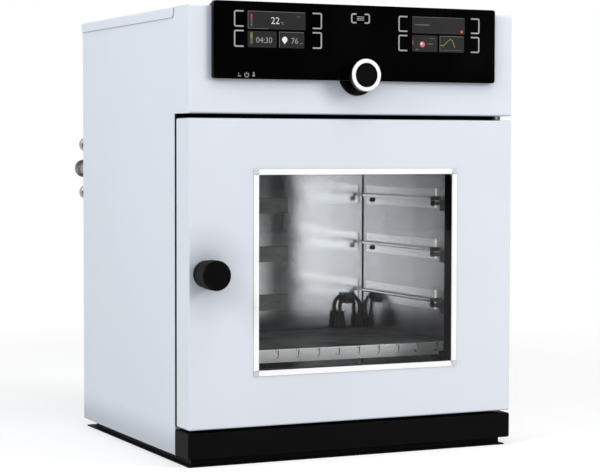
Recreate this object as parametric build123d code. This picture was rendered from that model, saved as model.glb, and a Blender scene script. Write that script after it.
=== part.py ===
from build123d import *
import math
import os

os.makedirs("parts", exist_ok=True)

# Frame: X to the right, Y to the back, Z up, floor at Z = 0, millimetres
# The origin is the centre of the whole outline, on the floor

# Cabinet
cabinet_width = 550.0
cabinet_depth = 480.0
cabinet_height = 680.0
sheet = 1.2
bend = 3.0
seam = 0.2
flange = 12.0
base_height = 11.5
plinth_height = 39.0
header_height = 158.1
header_gap = 6.8
cover_drop = 15.5
cover_setback = 57.0
cover_corner = 8.0
frame_sheet = 2.0
header_overlap = 8.0

# Base frame, set in by a different amount on each side
foot_sheet = 2.0
foot_flange = 6.4
foot_flange_rear = 29.0
foot_ledge = 18.0
foot_inset_left = 1.0
foot_inset_right = 9.6
foot_inset_front = 2.0
foot_inset_rear = 15.0

# Door
door_thickness = 47.0
door_foot_gap = 4.2
door_gap = 8.0
window_side_lap = 27.6
window_end_lap = 46.2
window_shift = 2.6
trim_width = 8.3
trim_proud = 1.0
trim_lap = 4.1
outer_pane_thickness = 5.0
outer_pane_lap = 12.0
inner_pane_thickness = 15.0
inner_pane_rebate = 6.0
inner_pane_rebate_depth = 4.0
inner_pane_corner = 6.0
pane_proud = 1.0
pane_play = 0.5
pane_frame_wall = 4.5
spring_height = 8.0
spring_length = 44.0
spring_width = 10.0
spring_sheet = 0.8
spring_crown = 16.0
spring_spacing = 180.0

# Hinges
hinge_inset = 15.0
pin_radius = 5.0
pin_depth = 16.0
running_gap = 0.05
collar_radius = 7.0
collar_gap = 0.3
bush_wall = 3.0
hinge_block = 8.0
hinge_block_width = 28.0

# Door knob and latch
knob_inset = 27.5
knob_rise = 1.0
knob_height = 46.0
knob_radius = 22.2
knob_waist = 20.3
knob_round = 4.0
knob_gap = 0.5
shaft_radius = 5.0
shaft_grip = 30.0
latch_bush_wall = 4.0
latch_bar_width = 10.0
latch_bar_length = 26.0
latch_bar_thickness = 5.0
latch_play = 0.7
latch_slot_play = 3.0
latch_slot_end = 4.0
strike_sheet = 3.0
strike_margin = 12.0

# Chamber
chamber_side_space = 82.5
chamber_end_lap = 37.7
chamber_rear_space = 102.0
chamber_wall = 4.0
chamber_flange = 22.0
chamber_flange_thickness = 6.0
chamber_flange_corner = 14.0
gasket_inset = 4.0
gasket_width = 10.0
gasket_thickness = 4.2
gasket_gap = 0.3
gasket_corner = 4.0
rib_height = 20.0
rib_width = 8.0
rib_count = 3
rib_margin = 60.0
support_width = 20.0
support_sheet = 3.0
support_inset = 42.5
insulation_thickness = 40.0
insulation_margin = 16.0

# Shelf rails
rail_levels = 4
rail_first = 51.5
rail_top_space = 86.9
rail_height = 32.0
rail_sheet = 1.5
rail_reach = 10.0
rail_rib = 6.0
rail_end = 46.3
rail_back_gap = 18.4
rail_hole_radius = 3.5
rail_hole_inset = 23.0
rail_hole_drop = 8.0
rail_screw_inset = 5.0
rail_screw_radius = 4.4
rail_screw_head = 4.0
stop_length = 20.0
stop_drop = 1.5
stop_height = 18.0
stop_reach = 8.0
stop_gap = 29.0
stop_pin_radius = 1.2
stop_pin_inset = 5.0
stop_front_pin = 13.0
stop_rear_pin = 3.0

# Shelf and its sockets
shelf_sheet = 1.5
shelf_rise = 15.1
shelf_side_gap = 2.5
shelf_lip = 20.5
shelf_front_gap = 18.0
shelf_back_gap = 33.0
shelf_corner_gap = 1.0
shelf_slots = 11
shelf_slot_shift = 0.8
shelf_hook_radius = 3.2
shelf_hook_width = 1.8
shelf_hook_height = 8.0
shelf_hook_drop = 2.6
heater_gap = 2.0
heater_thickness = 6.0
socket_width = 96.0
socket_height = 26.0
socket_depth = 7.0
socket_flange = 3.0
socket_flange_width = 13.0
socket_drop = 18.0
socket_round = 2.0
socket_groove = 4.0
plug_width = 60.0
plug_height = 16.0

# Formed lead at the rear wall
lead_radius = 3.4
lead_spacing = 38.0
lead_inset = 30.5
lead_wall_gap = 12.0
lead_centre_rise = 104.6
sleeve_length = 31.0
sleeve_top_radius = 7.6
sleeve_foot_radius = 10.0
sleeve_rise = 97.6
sleeve_step = 7.0
sleeve_slim = 0.62
branch_radius = 2.0
branch_reach = 7.4
branch_forward = 8.0
branch_drop = 28.0
branch_fitting = 3.6
branch_fitting_length = 17.0
clip_width = 16.0
clip_height = 18.0

# Control panel
panel_side_gap = 36.5
panel_drop = 107.1
panel_corner = 4.0
panel_top_rise = 7.0
panel_proud = 8.0
glass_thickness = 3.0
lip_setback = 18.0
lip_tail = 2.0
lip_front = 7.0
boss_radius = 30.3
boss_proud = 3.0
display_width = 95.0
display_height = 56.0
display_depth = 4.5
display_drop = 33.0
display_left_inset = 102.0
display_right_inset = 101.2
display_gap = 0.3

# Turn and press dial
dial_drop = 99.1
dial_radius = 24.75
dial_inner_radius = 17.0
dial_rear_radius = 19.0
dial_reach = 33.0
dial_clearance = 2.5
dial_ring_thickness = 7.0
dial_ring_round = 1.6
dial_cap_recess = 0.6
dial_cap_thickness = 4.0
dial_shaft_radius = 3.0
rotor_wall = 1.0
encoder_bush_radius = 5.0
encoder_bush_end = 0.5
encoder_size = 28.0
encoder_depth = 16.0
encoder_floor = 1.2
shaft_end_gap = 2.5
fit_hole = 0.2

# Push button
button_inset = 52.6
button_drop = 101.0
button_radius = 4.6
button_hole_gap = 0.3
button_proud = 0.6
button_cap = 3.6
button_stem_radius = 2.0
button_stem_end = 2.5
switch_size = 12.0
switch_depth = 8.0
switch_well = 6.0

# Electrics
board_inset = 28.5
board_height = 66.0
board_thickness = 1.6
board_drop = 42.0
standoff_length = 11.0
standoff_radius = 3.0
standoff_inset = 12.0
tray_flange = 14.0
tray_inset = 20.0
supply_width = 160.0
supply_depth = 160.0
supply_height = 50.0
supply_inset = 145.0
supply_rear_gap = 160.0
inlet_inset = 85.0
inlet_z = 90.0
inlet_width = 28.0
inlet_height = 20.0
inlet_flange = 5.0
inlet_depth = 22.0
inlet_wall = 2.0

# Connections at the rear
port_inset = 27.0
port_drop = 42.4
gas_port_step = 40.8
air_port_step = 41.2
vacuum_reach = 82.0
gas_reach = 68.0
vacuum_flange_radius = 15.0
vacuum_flange_thickness = 3.0
vacuum_tube_radius = 10.0
vacuum_bore_radius = 8.0
gas_cap_radius = 12.0
gas_cap_length = 14.0
gas_tube_radius = 6.0
gas_bore_radius = 3.0
port_nut_radius = 16.0
port_nut_thickness = 6.0
port_tail = 6.0
pipe_bend = 16.0
pipe_inset = 42.5
valve_width = 26.0
valve_height = 32.0
valve_depth = 30.0
vent_count = 8
vent_width = 70.0
vent_height = 4.0
vent_pitch = 10.0
vent_x = 90.0
vent_drop = 80.0
screw_radius = 3.6
screw_head = 2.0
screw_inset = 7.0

# Planes worked out from the sizes above
half_width = cabinet_width / 2
overall_depth = knob_height + cabinet_depth + vacuum_reach
front = knob_height - overall_depth / 2
rear = front + cabinet_depth
cabinet_middle = (front + rear) / 2
header_back = front + sheet
door_back = front + door_thickness
face_plane = door_back + door_gap
frame_front = face_plane + sheet
frame_back = frame_front + frame_sheet
plinth_top = base_height + plinth_height
door_bottom = plinth_top + door_foot_gap
header_bottom = cabinet_height - header_height
door_top = header_bottom - header_gap
door_middle = (door_bottom + door_top) / 2
cover_front = front + cover_setback
inner_half = half_width - sheet - seam
floor_top = base_height + sheet

chamber_width = cabinet_width - 2 * chamber_side_space
chamber_height = door_top - door_bottom - 2 * chamber_end_lap
support_spacing = chamber_width - 2 * support_inset
rail_pitch = (chamber_height - rail_first - rail_top_space) / (rail_levels - 1)
shelf_slot_pitch = chamber_width / shelf_slots
window_width = chamber_width - 2 * window_side_lap
window_height = chamber_height - 2 * window_end_lap

pane_back = door_back + pane_proud
pane_front = pane_back - inner_pane_thickness
spring_ledge = pane_front - spring_height
flange_front = pane_back + gasket_gap + gasket_thickness
flange_back = flange_front + chamber_flange_thickness
chamber_back = rear - chamber_rear_space
chamber_low = door_middle - chamber_height / 2
chamber_high = door_middle + chamber_height / 2
chamber_right = chamber_width / 2
rib_low = chamber_low - chamber_wall - rib_height
rib_high = chamber_high + chamber_wall + rib_height
rib_right = chamber_right + chamber_wall + rib_height
insulation_back = chamber_back + chamber_wall + insulation_thickness
tray_z = rib_high + insulation_thickness

gasket_half_width = chamber_right + gasket_inset + gasket_width
gasket_half_height = chamber_height / 2 + gasket_inset + gasket_width
pane_half_width = gasket_half_width + inner_pane_rebate + 1.5 * pane_play
pane_half_height = gasket_half_height + inner_pane_rebate + 1.5 * pane_play
pane_frame_half_width = pane_half_width + pane_play + pane_frame_wall
pane_frame_half_height = pane_half_height + pane_play + pane_frame_wall

hinge_x = half_width - hinge_inset
hinge_y = front + door_thickness / 2
latch_x = knob_inset - half_width
latch_z = door_middle + knob_rise
bar_front = frame_back + strike_sheet + latch_play
bar_back = bar_front + latch_bar_thickness

panel_top = cabinet_height + panel_top_rise
panel_bottom = cabinet_height - panel_drop
panel_front = front - panel_proud
glass_back = panel_front + glass_thickness
dial_z = cabinet_height - dial_drop
dial_front = front - dial_reach
dial_back = panel_front - dial_clearance
bush_front = panel_front - encoder_bush_end
rotor_radius = dial_shaft_radius + running_gap + rotor_wall
encoder_back = header_back + encoder_depth
rotor_back = encoder_back - encoder_floor - running_gap
panel_width = cabinet_width - 2 * panel_side_gap
button_x = button_inset - panel_width / 2
button_z = cabinet_height - button_drop
display_left_x = display_left_inset - panel_width / 2
display_right_x = panel_width / 2 - display_right_inset
board_width = panel_width - 2 * board_inset
display_z = cabinet_height - display_drop

supply_x = half_width - supply_inset
inlet_x = half_width - inlet_inset
vent_z = cabinet_height - vent_drop
port_x = port_inset - half_width
pipe_chamber_x = pipe_inset - chamber_right
vacuum_port_z = chamber_high - port_drop
gas_port_z = vacuum_port_z - gas_port_step
air_port_z = vacuum_port_z + air_port_step
port_tail_y = rear - flange - port_tail


# Solid building blocks

def block(x, y, z):
    size = Box(x[1] - x[0], y[1] - y[0], z[1] - z[0])
    return Pos((x[0] + x[1]) / 2, (y[0] + y[1]) / 2, (z[0] + z[1]) / 2) * size


def upright(sketch, y_front, y_back):
    plane = Plane.XZ.offset(-y_back)
    return extrude(plane * sketch, amount=y_back - y_front)


def lying(sketch, z_low, z_high):
    return extrude(Plane.XY.offset(z_low) * sketch, amount=z_high - z_low)


def rod_y(radius, x, z, y_front, y_back):
    return upright(Pos(x, z) * Circle(radius), y_front, y_back)


def rod_z(radius, x, y, z_low, z_high):
    return lying(Pos(x, y) * Circle(radius), z_low, z_high)


def plate(width, height, corner, x, z, y_front, y_back):
    return upright(Pos(x, z) * RectangleRounded(width, height, corner), y_front, y_back)


def edges_off_plane(solid, axis, value):
    return [edge for edge in solid.edges() if abs(getattr(edge.center(), axis) - value) > sheet / 4]


def folded_tray(x, y, z, thickness, radius):
    # Sheet tray open to the back, with its other edges bent round
    outer = block(x, y, z)
    outer = fillet(edges_off_plane(outer, "Y", y[1]), radius)
    inner = block((x[0] + thickness, x[1] - thickness), (y[0] + thickness, y[1] + thickness),
                  (z[0] + thickness, z[1] - thickness))
    inner = fillet(edges_off_plane(inner, "Y", y[1] + thickness), radius - thickness)
    return outer - inner


def turned(profile, x, z):
    # A turned form round an axis along Y; profile points are (radius, y)
    face = make_face(Polyline(*profile, close=True))
    body = revolve(face, Axis.Y)
    return Pos(x, 0, z) * body


nodes = {}


# Base, floor, plinth

def make_base_frame():
    x = (foot_inset_left - half_width, half_width - foot_inset_right)
    y = (front + foot_inset_front, rear - foot_inset_rear)
    web_x = (x[0] + foot_flange, x[1] - foot_flange)
    web_y = (y[0] + foot_flange, y[1] - foot_flange_rear)
    inside_x = (web_x[0] + foot_sheet, web_x[1] - foot_sheet)
    inside_y = (web_y[0] + foot_sheet, web_y[1] - foot_sheet)
    ledge_x = (inside_x[0] + foot_ledge, inside_x[1] - foot_ledge)
    ledge_y = (inside_y[0] + foot_ledge, inside_y[1] - foot_ledge)
    foot = block(x, y, (0, foot_sheet))
    web = block(web_x, web_y, (0, base_height))
    hollow = block(inside_x, inside_y, (-foot_sheet, base_height - foot_sheet))
    opening = block(ledge_x, ledge_y, (0, base_height + foot_sheet))
    return foot + web - hollow - opening


def make_floor_plate():
    x = (-inner_half, inner_half)
    y = (frame_back + seam, rear - flange - seam)
    outer = block(x, y, (base_height, base_height + flange))
    hollow = block((x[0] + sheet, x[1] - sheet), (y[0] - sheet, y[1] + sheet), (floor_top, floor_top + flange))
    floor = outer - hollow
    for side in (-1, 1):
        for step in range(vent_count):
            slot = Pos(side * vent_x, cabinet_middle + (step - (vent_count - 1) / 2) * 2 * vent_pitch) * SlotOverall(
                vent_width, vent_height)
            floor -= lying(slot, base_height - sheet, floor_top + sheet)
    return floor


def make_front_plinth():
    plinth = folded_tray((-half_width, half_width), (front, face_plane - seam),
                         (base_height, plinth_top), sheet, bend)
    return plinth - rod_z(pin_radius + seam, hinge_x, hinge_y, base_height + sheet, plinth_top + sheet)


nodes["base_frame"] = make_base_frame()
nodes["floor_plate"] = make_floor_plate()
nodes["front_plinth"] = make_front_plinth()


# Casing: both sides and the header in one folded sheet

def casing_form(inset):
    half = half_width - inset
    low = base_height - inset
    high = cabinet_height - inset
    back = rear + inset
    step = header_bottom + inset
    outline = Polyline((back, low), (face_plane + inset, low), (face_plane + inset, step),
                       (front + inset, step), (front + inset, high), (back, high), close=True)
    form = extrude(Plane.YZ * make_face(outline), amount=half, both=True)
    header = [edge for edge in form.edges() if abs(edge.center().Y - front - inset) < sheet / 4]
    return fillet(header, bend - inset)


def make_outer_casing():
    casing = casing_form(0) - casing_form(sheet)
    casing -= block((-cabinet_width, cabinet_width), (cover_front, rear + flange),
                    (cabinet_height - bend - seam, cabinet_height + sheet))
    casing -= block((flange - half_width, half_width - flange), (face_plane - sheet, frame_front + sheet / 2),
                    (base_height - flange, header_bottom - flange))
    casing -= rod_y(encoder_bush_radius + fit_hole, 0, dial_z, front - sheet, header_back + sheet)
    casing -= rod_y(button_stem_radius + button_hole_gap, button_x, button_z, front - sheet, header_back + sheet)
    casing -= rod_z(pin_radius + seam, hinge_x, hinge_y, header_bottom - sheet, header_bottom + 2 * sheet)
    return casing


def make_top_cover():
    x = (-half_width - seam - sheet, half_width + seam + sheet)
    y = (cover_front + seam, rear + seam + sheet)
    z = (cabinet_height - cover_drop, cabinet_height)
    outer = block(x, y, z)
    outer = fillet([edge for edge in outer.edges().filter_by(Axis.Y) if edge.center().Z > z[1] - sheet], bend)
    inner = block((x[0] + sheet, x[1] - sheet), (y[0] - sheet, y[1] - sheet), (z[0] - sheet, z[1] - sheet))
    inner_top = [edge for edge in inner.edges().filter_by(Axis.Y) if edge.center().Z > z[0] + sheet]
    cover = outer - fillet(inner_top, bend - sheet)
    corners = [edge for edge in cover.edges().filter_by(Axis.X)
               if edge.center().Z < z[0] + sheet and edge.center().Y < y[0] + sheet]
    return fillet(corners, cover_corner)


def make_rear_panel():
    x = (-inner_half, inner_half)
    y = (rear - flange, rear)
    z = (floor_top + seam, cabinet_height - sheet - seam)
    outer = block(x, y, z)
    hollow = block((x[0] + sheet, x[1] - sheet), (y[0] - sheet, y[1] - sheet), (z[0] + sheet, z[1] - sheet))
    panel = outer - hollow
    for height, radius in ((vacuum_port_z, vacuum_tube_radius), (gas_port_z, gas_tube_radius),
                           (air_port_z, gas_tube_radius)):
        panel -= rod_y(radius + seam, port_x, height, rear - 2 * sheet, rear + sheet)
    inlet = block((inlet_x - inlet_width / 2 - seam, inlet_x + inlet_width / 2 + seam), (rear - 2 * sheet, rear + sheet),
                  (inlet_z - inlet_height / 2 - seam, inlet_z + inlet_height / 2 + seam))
    panel -= inlet
    for side in (-1, 1):
        for step in range(vent_count):
            slot = Pos(side * vent_x, vent_z - step * vent_pitch) * SlotOverall(vent_width, vent_height)
            panel -= upright(slot, rear - 2 * sheet, rear + sheet)
    return panel


def make_front_frame():
    low = floor_top + seam
    high = header_bottom + header_overlap
    frame = block((-inner_half, inner_half), (frame_front, frame_back), (low, high))
    opening = plate(chamber_width + 2 * (chamber_flange + seam), chamber_height + 2 * (chamber_flange + seam),
                    chamber_flange_corner + seam, 0, door_middle, frame_front - sheet, frame_back + sheet)
    return frame - opening - latch_slot(frame_front - sheet, frame_back + sheet)


def latch_slot(y_front, y_back):
    length = latch_bar_length + 2 * latch_slot_end
    width = latch_bar_width + 2 * latch_slot_play
    return upright(Pos(latch_x, latch_z) * Rot(0, 0, 90) * SlotOverall(length, width), y_front, y_back)


def make_strike_plate():
    width = latch_bar_width + 2 * (latch_slot_play + strike_margin)
    height = latch_bar_length + 2 * (latch_slot_end + strike_margin)
    strike = plate(width, height, bend, latch_x, latch_z, frame_back, frame_back + strike_sheet)
    return strike - latch_slot(frame_back - sheet, frame_back + strike_sheet + sheet)


def make_cover_screws():
    screws = []
    columns = (-1, 0, 1)
    for side in columns:
        for height in (base_height + flange, cabinet_height - cover_drop - flange):
            x = side * (inner_half - screw_inset)
            screws.append(turned(((0, rear), (screw_radius, rear), (screw_radius, rear + screw_head / 2),
                                  (screw_radius / 2, rear + screw_head), (0, rear + screw_head)), x, height))
    return screws


nodes["outer_casing"] = make_outer_casing()
nodes["top_cover"] = make_top_cover()
nodes["rear_panel"] = make_rear_panel()
nodes["front_frame"] = make_front_frame()
nodes["strike_plate"] = make_strike_plate()
nodes["cover_screws"] = make_cover_screws()


# Vacuum chamber, its ribs, supports, seal and insulation

def make_chamber():
    wall_x = (-chamber_right - chamber_wall, chamber_right + chamber_wall)
    wall_z = (chamber_low - chamber_wall, chamber_high + chamber_wall)
    shell = block(wall_x, (flange_back, chamber_back + chamber_wall), wall_z)
    mouth = plate(chamber_width + 2 * chamber_flange, chamber_height + 2 * chamber_flange,
                  chamber_flange_corner, 0, door_middle, flange_front, flange_back)
    cavity = block((-chamber_right, chamber_right), (flange_front - sheet, chamber_back), (chamber_low, chamber_high))
    chamber = shell + mouth - cavity
    for height, radius in chamber_holes:
        chamber -= rod_y(radius, pipe_chamber_x, height, chamber_back - chamber_wall, chamber_back + 2 * chamber_wall)
    return chamber


def make_door_gasket():
    outer = RectangleRounded(2 * gasket_half_width, 2 * gasket_half_height, gasket_corner + gasket_width)
    inner = RectangleRounded(2 * (gasket_half_width - gasket_width), 2 * (gasket_half_height - gasket_width),
                             gasket_corner)
    ring = upright(Pos(0, door_middle) * (outer - inner), flange_front - gasket_thickness, flange_front)
    lip = ring.faces().sort_by(Axis.Y)[0].edges()
    return fillet(lip, gasket_thickness * 0.4)


def make_chamber_ribs():
    ribs = []
    first = flange_back + rib_margin
    last = chamber_back - rib_margin
    for step in range(rib_count):
        y = first + (last - first) * step / (rib_count - 1)
        outer = block((-rib_right, rib_right), (y - rib_width / 2, y + rib_width / 2), (rib_low, rib_high))
        hollow = block((-rib_right + rib_height, rib_right - rib_height), (y - rib_width, y + rib_width),
                       (rib_low + rib_height, rib_high - rib_height))
        ribs.append(outer - hollow)
    return ribs


def make_chamber_supports():
    channels = []
    y = (flange_back + rib_margin - rib_width, chamber_back - rib_margin + rib_width)
    for side in (-1, 1):
        x = side * support_spacing / 2
        outer = block((x - support_width / 2, x + support_width / 2), y, (floor_top, rib_low))
        hollow = block((x - support_width / 2 + support_sheet, x + support_width), y,
                       (floor_top + support_sheet, rib_low - support_sheet))
        channels.append(outer - hollow)
    return channels


def make_insulation():
    y = (flange_back + insulation_margin, chamber_back + chamber_wall)
    side_low = rib_low
    side_high = rib_high
    left_x = (-rib_right - insulation_thickness, -rib_right)
    right_x = (rib_right, rib_right + insulation_thickness)
    half_support = support_spacing / 2 - support_width / 2 - seam
    rear_slab = block((-rib_right, rib_right), (chamber_back + chamber_wall, insulation_back), (side_low, side_high))
    for height, radius in chamber_holes:
        rear_slab -= rod_y(radius + 2 * chamber_wall, pipe_chamber_x, height, chamber_back, insulation_back + sheet)
    return [
        block(left_x, y, (side_low, side_high)),
        block(right_x, y, (side_low, side_high)),
        block((-rib_right, rib_right), y, (side_high, side_high + insulation_thickness)),
        block((-half_support, half_support), y, (rib_low - insulation_thickness, rib_low)),
        rear_slab,
    ]


chamber_holes = (
    (vacuum_port_z, vacuum_bore_radius),
    (gas_port_z, gas_bore_radius),
    (air_port_z - rib_height, gas_bore_radius),
)
nodes["chamber"] = make_chamber()
nodes["door_gasket"] = make_door_gasket()
nodes["chamber_ribs"] = make_chamber_ribs()
nodes["chamber_supports"] = make_chamber_supports()
nodes["insulation"] = make_insulation()


# Shelf rails on both side walls

def rail_level(level):
    return chamber_low + rail_first + level * rail_pitch


rail_front_y = frame_front + rail_end
rail_back_y = chamber_back - rail_back_gap


def make_rail(side, level):
    wall = side * chamber_right
    middle = rail_level(level)
    strip = Pos(wall - side * rail_sheet / 2, middle) * Rectangle(rail_sheet, rail_height)
    rib = Pos(wall - side * rail_reach / 2, middle) * Rectangle(rail_reach, rail_rib)
    nose = rib.vertices().sort_by(Axis.X)[:2] if side > 0 else rib.vertices().sort_by(Axis.X)[2:]
    rib = fillet(nose, rail_rib / 3)
    rail = upright(strip + rib, rail_front_y, rail_back_y)
    for y in (rail_back_y - rail_hole_inset, rail_front_y + rail_screw_inset):
        hole = Plane.YZ * Pos(y, middle - rail_hole_drop) * Circle(rail_hole_radius)
        rail -= extrude(hole, amount=cabinet_width, both=True)
    return rail


def make_rail_screw(side, level):
    wall = side * chamber_right
    y = rail_front_y + rail_screw_inset
    z = rail_level(level) - rail_hole_drop
    head_plane = Plane((wall - side * rail_sheet, y, z), x_dir=(0, 1, 0), z_dir=(-side, 0, 0))
    head = extrude(head_plane * Circle(rail_screw_radius), amount=rail_screw_head)
    shank = extrude(head_plane * Circle(rail_hole_radius - seam), amount=-rail_sheet)
    socket = extrude(head_plane.offset(rail_screw_head / 2) * RegularPolygon(rail_screw_radius / 2, 6),
                     amount=rail_screw_head)
    return head + shank - socket


def make_rail_stop(side, level):
    wall = side * chamber_right
    middle = rail_level(level)
    x = sorted((wall, wall - side * stop_reach))
    y = (rail_front_y - stop_gap - stop_length, rail_front_y - stop_gap)
    stop = block(x, y, (middle - stop_drop - stop_height, middle - stop_drop))
    arm_x = sorted((wall, wall - side * stop_reach / 2))
    arm_z = middle - rail_hole_drop
    arm = block(arm_x, (y[1] - stop_reach / 2, rail_front_y), (arm_z - rail_rib / 2, arm_z + rail_rib / 2))
    pin_x = wall - side * stop_reach / 2
    foot = middle - stop_drop
    front_pin = rod_z(stop_pin_radius, pin_x, y[0] + stop_pin_inset, foot, middle + stop_front_pin)
    rear_pin = rod_z(stop_pin_radius, pin_x, y[1] - stop_pin_inset, foot, middle + stop_rear_pin)
    return stop + arm + front_pin + rear_pin


sides = (-1, 1)
nodes["rails_left"] = [make_rail(-1, level) for level in range(rail_levels)]
nodes["rails_right"] = [make_rail(1, level) for level in range(rail_levels)]
nodes["rail_screws"] = [make_rail_screw(side, level) for side in sides for level in range(rail_levels)]
nodes["rail_stops"] = [make_rail_stop(side, level) for side in sides for level in range(rail_levels)]


# Heated shelf in the lowest level, its plug and the sockets

shelf_foot = rail_level(0) + rail_rib / 2
shelf_top = shelf_foot + shelf_rise
shelf_half = chamber_right - shelf_side_gap
shelf_front = flange_front + shelf_front_gap - shelf_sheet
shelf_back = chamber_back - shelf_back_gap
lip_half = chamber_right - rail_reach - shelf_corner_gap
socket_front = chamber_back - socket_depth


def hook_slot():
    # A hook-shaped slot: a straight stem that ends in a half ring to the left
    outer = shelf_hook_radius + shelf_hook_width / 2
    inner = shelf_hook_radius - shelf_hook_width / 2
    ring = Circle(outer) - Circle(inner) - Pos(0, outer) * Rectangle(3 * outer, 2 * outer)
    stem = Pos(shelf_hook_radius, shelf_hook_height / 2) * Rectangle(shelf_hook_width, shelf_hook_height)
    tip = Pos(shelf_hook_radius, shelf_hook_height) * Circle(shelf_hook_width)
    return Pos(0, -shelf_hook_height) * (ring + stem + tip)


def make_shelf_tray():
    outer = block((-shelf_half, shelf_half), (shelf_front, shelf_back), (shelf_foot, shelf_top))
    top_edges = [edge for edge in outer.edges() if edge.center().Z > shelf_top - sheet / 4]
    outer = fillet(top_edges, shelf_sheet)
    hollow = block((-shelf_half + shelf_sheet, shelf_half - shelf_sheet),
                   (shelf_front + shelf_sheet, shelf_back - shelf_sheet),
                   (shelf_foot - shelf_sheet, shelf_top - shelf_sheet))
    lip = block((-lip_half, lip_half), (shelf_front, shelf_front + shelf_sheet),
                (shelf_top - shelf_lip, shelf_foot + shelf_sheet))
    tray = outer - hollow + lip
    for step in range(shelf_slots):
        x = (step - (shelf_slots - 1) / 2) * shelf_slot_pitch + shelf_slot_shift
        hook = Pos(x, shelf_top - shelf_hook_drop) * hook_slot()
        tray -= upright(hook, shelf_front - shelf_sheet, shelf_front + 2 * shelf_sheet)
    return tray


def make_shelf_heater():
    half = shelf_half - shelf_sheet
    y = (shelf_front + shelf_sheet, shelf_back - shelf_sheet)
    top = shelf_top - shelf_sheet - heater_gap
    pad = block((-half, half), y, (top - heater_thickness, top))
    for x in (-half / 2, half / 2):
        pad += rod_z(heater_thickness / 2, x, (y[0] + y[1]) / 2, top, top + heater_gap)
    return pad


def make_shelf_plug():
    low = rail_level(0) - socket_drop - plug_height / 2
    body = block((-plug_width / 2, plug_width / 2), (shelf_back, socket_front),
                 (low, low + plug_height))
    stem = block((-plug_width / 4, plug_width / 4), (shelf_back, socket_front - socket_groove),
                 (low + plug_height, shelf_top - shelf_sheet))
    return body + stem


def make_shelf_socket(level):
    middle = rail_level(level) - socket_drop
    rim = plate(socket_width, socket_height, socket_round, 0, middle, chamber_back - socket_flange, chamber_back)
    raised = socket_width - 2 * socket_flange_width
    body = plate(raised, socket_height, socket_round, 0, middle, socket_front, chamber_back)
    groove = upright(Pos(0, middle) * SlotOverall(raised - 2 * socket_groove, socket_groove),
                     socket_front - sheet, socket_front + socket_depth / 2)
    return rim + body - groove


nodes["shelf_tray"] = make_shelf_tray()
nodes["shelf_heater"] = make_shelf_heater()
nodes["shelf_plug"] = make_shelf_plug()
nodes["shelf_sockets"] = [make_shelf_socket(level) for level in range(rail_levels)]


# Formed lead at the rear wall, with its clip and two sleeves

lead_x = chamber_right - lead_inset
lead_y = chamber_back - lead_wall_gap
lead_left = lead_x - lead_spacing / 2
lead_right = lead_x + lead_spacing / 2
arch_radius = (lead_right - lead_left) / 2
arch_x = (lead_left + lead_right) / 2
arch_z = chamber_low + lead_centre_rise
sleeve_top = chamber_low + sleeve_rise


def make_probe_lead():
    path = FilletPolyline((lead_left, lead_y, sleeve_top), (lead_left, lead_y, arch_z + arch_radius),
                          (lead_right, lead_y, arch_z + arch_radius),
                          (lead_right, lead_y, sleeve_top - sleeve_step), radius=arch_radius - seam)
    lead = sweep(Plane((lead_left, lead_y, sleeve_top), z_dir=(0, 0, 1)) * Circle(lead_radius), path=path)
    start = Vector(lead_right, lead_y, arch_z + arch_radius / 2)
    end = start + Vector(branch_reach, -branch_forward, -branch_drop)
    branch = extrude(Plane(start, z_dir=end - start) * Circle(branch_radius), amount=(end - start).length)
    fitting = rod_z(branch_fitting, end.X, end.Y, end.Z - branch_fitting_length, end.Z)
    return lead + branch + fitting


def make_probe_sleeve(x, top, scale):
    profile = Polyline((0, top - sleeve_length), (sleeve_foot_radius * scale, top - sleeve_length),
                       (sleeve_top_radius * scale, top), (0, top), close=True)
    cone = revolve(Plane.XZ * make_face(profile), Axis.Z)
    return Pos(x, lead_y, 0) * cone


def make_probe_clip(lead):
    top = arch_z + arch_radius + lead_radius + sheet
    body = block((arch_x - clip_width / 2, arch_x + clip_width / 2), (lead_y - lead_radius - sheet, chamber_back),
                 (top - clip_height, top))
    window = block((arch_x - clip_width / 2 + 2 * sheet, arch_x + clip_width / 2 - 2 * sheet),
                   (lead_y - lead_radius - 2 * sheet, chamber_back - 2 * sheet),
                   (top - clip_height + 2 * sheet, arch_z + arch_radius - lead_radius - sheet))
    return body - window - lead


nodes["probe_lead"] = make_probe_lead()
nodes["probe_sleeves"] = [
    make_probe_sleeve(lead_left, sleeve_top, 1.0),
    make_probe_sleeve(lead_right, sleeve_top - sleeve_step, sleeve_slim),
]
nodes["probe_clip"] = make_probe_clip(nodes["probe_lead"])


# Connections at the rear, their pipes and valves

def make_vacuum_port():
    tip = rear + vacuum_reach
    flange_foot = tip - vacuum_flange_thickness
    profile = ((vacuum_bore_radius, tip), (vacuum_flange_radius, tip), (vacuum_flange_radius, flange_foot),
               (vacuum_tube_radius, flange_foot - vacuum_flange_thickness / 2),
               (vacuum_tube_radius, rear + port_nut_thickness), (port_nut_radius, rear + port_nut_thickness),
               (port_nut_radius, rear), (vacuum_tube_radius, rear), (vacuum_tube_radius, port_tail_y),
               (vacuum_bore_radius, port_tail_y))
    return turned(profile, port_x, vacuum_port_z)


def make_gas_port(height):
    tip = rear + gas_reach
    foot = tip - gas_cap_length
    profile = ((gas_bore_radius, tip), (gas_cap_radius - sheet, tip), (gas_cap_radius, tip - sheet),
               (gas_cap_radius, foot + sheet), (gas_cap_radius - sheet, foot), (gas_tube_radius, foot),
               (gas_tube_radius, port_tail_y), (gas_bore_radius, port_tail_y))
    body = turned(profile, port_x, height)
    nut = upright(Pos(port_x, height) * RegularPolygon(gas_cap_radius - sheet, 6), rear, rear + port_nut_thickness)
    return body + nut - rod_y(gas_bore_radius, port_x, height, rear - sheet, rear + port_nut_thickness + sheet)


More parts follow.
